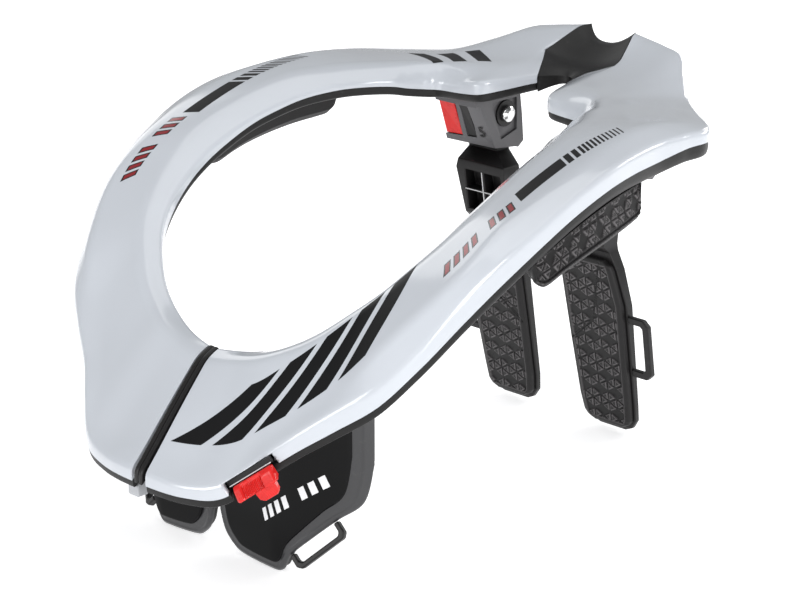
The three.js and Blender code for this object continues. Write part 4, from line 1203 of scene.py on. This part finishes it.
class OBJECT_OT_brace_chest(bpy.types.Operator):
    """Build the two chest plates: frame, gloss panel, foam pad and strap loop"""

    bl_idname = "object.brace_chest"
    bl_label = "Chest plates"

    def execute(self, context):
        face = edge_round(1.3)
        bead = lambda d: face(d) + 0.45 * hill(d, 1.9, 0.55)
        gap = SEAT + 0.1
        frame_shape = plate_shape(0, CHEST_FRAME_DEPTH, 0, bead)
        panel_shape = plate_shape(-gap - CHEST_PANEL_DEPTH, -gap, CHEST_PANEL_INSET, edge_round(1.1), 0.2)
        depth = CHEST_FRAME_DEPTH + SEAT
        pad_shape = plate_shape(depth, depth + CHEST_PAD_DEPTH, CHEST_PAD_INSET, lambda d: 0 * d, 3.0)
        add_pair("chest_frame_plate", frame_shape, "rim", "chest_frame", "chassis")
        add_pair("chest_panel_gloss", panel_shape, "panel", "chest_panel")
        for pad in add_pair("chest_pad_foam", pad_shape, "pad", "chest_pad"):
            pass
        for side in SIDES:
            rounded_copy(f"chest_loop_{side}", "dark", 0.9)
        return {"FINISHED"}


class OBJECT_OT_brace_shoulder_pads(bpy.types.Operator):
    """Build the foam pads under the arms"""

    bl_idname = "object.brace_shoulder_pads"
    bl_label = "Shoulder pads"

    def execute(self, context):
        # edges holds the share of painted highlight along the pad's relief
        shape, edges = shoulder_shape(context.scene.brace_sizes)
        for pad in add_pair("shoulder_pad_foam", shape, "pad", "shoulder_pad", uv=edges):
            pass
        return {"FINISHED"}


class OBJECT_OT_brace_struts(bpy.types.Operator):
    """Build the back struts with their pads and loops, the brackets, gauges and bolts"""

    bl_idname = "object.brace_struts"
    bl_label = "Struts and brackets"

    def execute(self, context):
        sizes = context.scene.brace_sizes
        # edges holds the share of painted highlight along the pad's relief
        shape, edges = strut_pad_shape(sizes)
        for pad in add_pair("strut_pad_foam", shape, "pad", "strut_pad", uv=edges, body="strut"):
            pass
        for side in SIDES:
            for node, (paint, width) in ROUNDED.items():
                rounded_copy(f"{node}_{side}", paint, width)
            bracket_digit(side)
            # Pale wires along each box's ribs: painted highlights on the rib edges
            for name, line in rib_highlight_lines().items():
                wire = ring_wire(line * [SIDES[side], 1, 1], RIB_HIGHLIGHT_RADIUS, 6)
                add_piece(f"strut_{name}_{side}", wire, "line", body=f"strut_{side}", slot="dark")
        return {"FINISHED"}


class SCENE_OT_brace_stage(bpy.types.Operator):
    """Set up the pale floor, the soft lights and the camera at the photograph's angle"""

    bl_idname = "scene.brace_stage"
    bl_label = "Studio"

    def execute(self, context):
        studio = context.scene.brace_studio
        reach = 6.0
        x = np.array([[-reach, -reach], [reach, reach]])
        y = np.array([[-reach, reach], [-reach, reach]])
        top = np.stack([x, y, 0 * x], -1)
        mesh = new_mesh("studio_floor", *slab(top, top - [0, 0, 0.01]))
        floor = link("studio_floor", mesh)
        mesh.materials.append(finishes()["floor"])

        world = bpy.data.worlds.new("studio_sky")
        world.use_nodes = True
        sky = world.node_tree.nodes["Background"].inputs
        sky["Color"].default_value = (0.97, 0.985, 1.0, 1)
        sky["Strength"].default_value = studio.sky
        context.scene.world = world
        context.scene.view_settings.view_transform = "Standard"

        lights = (
            ("overhead", (0.1, 0.1, 1.6), (0, 0, 0.1), (1.6, 1.2), 0.55),
            ("near_side", (1.8, -0.5, 0.5), (0, 0, 0.12), (0.6, 1.4), 1.6),
            ("front", (-0.3, -1.9, 0.45), (0, 0, 0.12), (1.2, 0.5), 0.9),
            ("far_side", (-1.5, 0.3, 0.8), (0, 0, 0.12), (0.6, 1.4), 0.3),
            ("behind", (0.2, 1.7, 0.7), (0, 0, 0.15), (1.6, 0.4), 0.8),
        )
        for name, place, aim, size, share in lights:
            data = bpy.data.lights.new(name, "AREA")
            data.shape = "RECTANGLE"
            data.size, data.size_y = size
            data.energy = studio.key * share
            light = link(name, data)
            light.location = place
            light.rotation_euler = (Vector(place) - Vector(aim)).to_track_quat("Z", "Y").to_euler()

        data = bpy.data.cameras.new("camera")
        data.sensor_width = 36
        data.lens = studio.lens
        data.clip_start = 0.05
        camera = link("camera", data)
        a, e = studio.azimuth, studio.elevation
        way = Vector((math.sin(a) * math.cos(e), -math.cos(a) * math.cos(e), math.sin(e)))
        camera.location = Vector(studio.target) + way * studio.distance
        camera.rotation_euler = way.to_track_quat("Z", "Y").to_euler()
        context.scene.camera = camera
        return {"FINISHED"}


class VIEW3D_PT_brace(bpy.types.Panel):
    """The brace's steps and settings"""

    bl_label = "Neck brace"
    bl_space_type = "VIEW_3D"
    bl_region_type = "UI"
    bl_category = "Neck brace"

    def draw(self, context):
        for operator in OPERATORS:
            self.layout.operator(operator.bl_idname)
        for group in ("brace_sizes", "brace_colours", "brace_studio"):
            settings = getattr(context.scene, group)
            for name in settings.__annotations__:
                self.layout.prop(settings, name)


SETTINGS = {"brace_sizes": BraceSizes, "brace_colours": BraceColours, "brace_studio": BraceStudio}
OPERATORS = (
    SCENE_OT_brace_stage, OBJECT_OT_brace_shells, OBJECT_OT_brace_chassis, OBJECT_OT_brace_latch,
    OBJECT_OT_brace_chest, OBJECT_OT_brace_shoulder_pads, OBJECT_OT_brace_struts,
)
CLASSES = (*SETTINGS.values(), *OPERATORS, VIEW3D_PT_brace)


def register():
    for item in CLASSES:
        bpy.utils.register_class(item)
    for name, group in SETTINGS.items():
        setattr(bpy.types.Scene, name, PointerProperty(type=group))


def unregister():
    for name in SETTINGS:
        delattr(bpy.types.Scene, name)
    for item in reversed(CLASSES):
        bpy.utils.unregister_class(item)


def main():
    register()
    for operator in OPERATORS:
        group, name = operator.bl_idname.split(".")
        getattr(getattr(bpy.ops, group), name)()


if __name__ == "__main__":
    main()
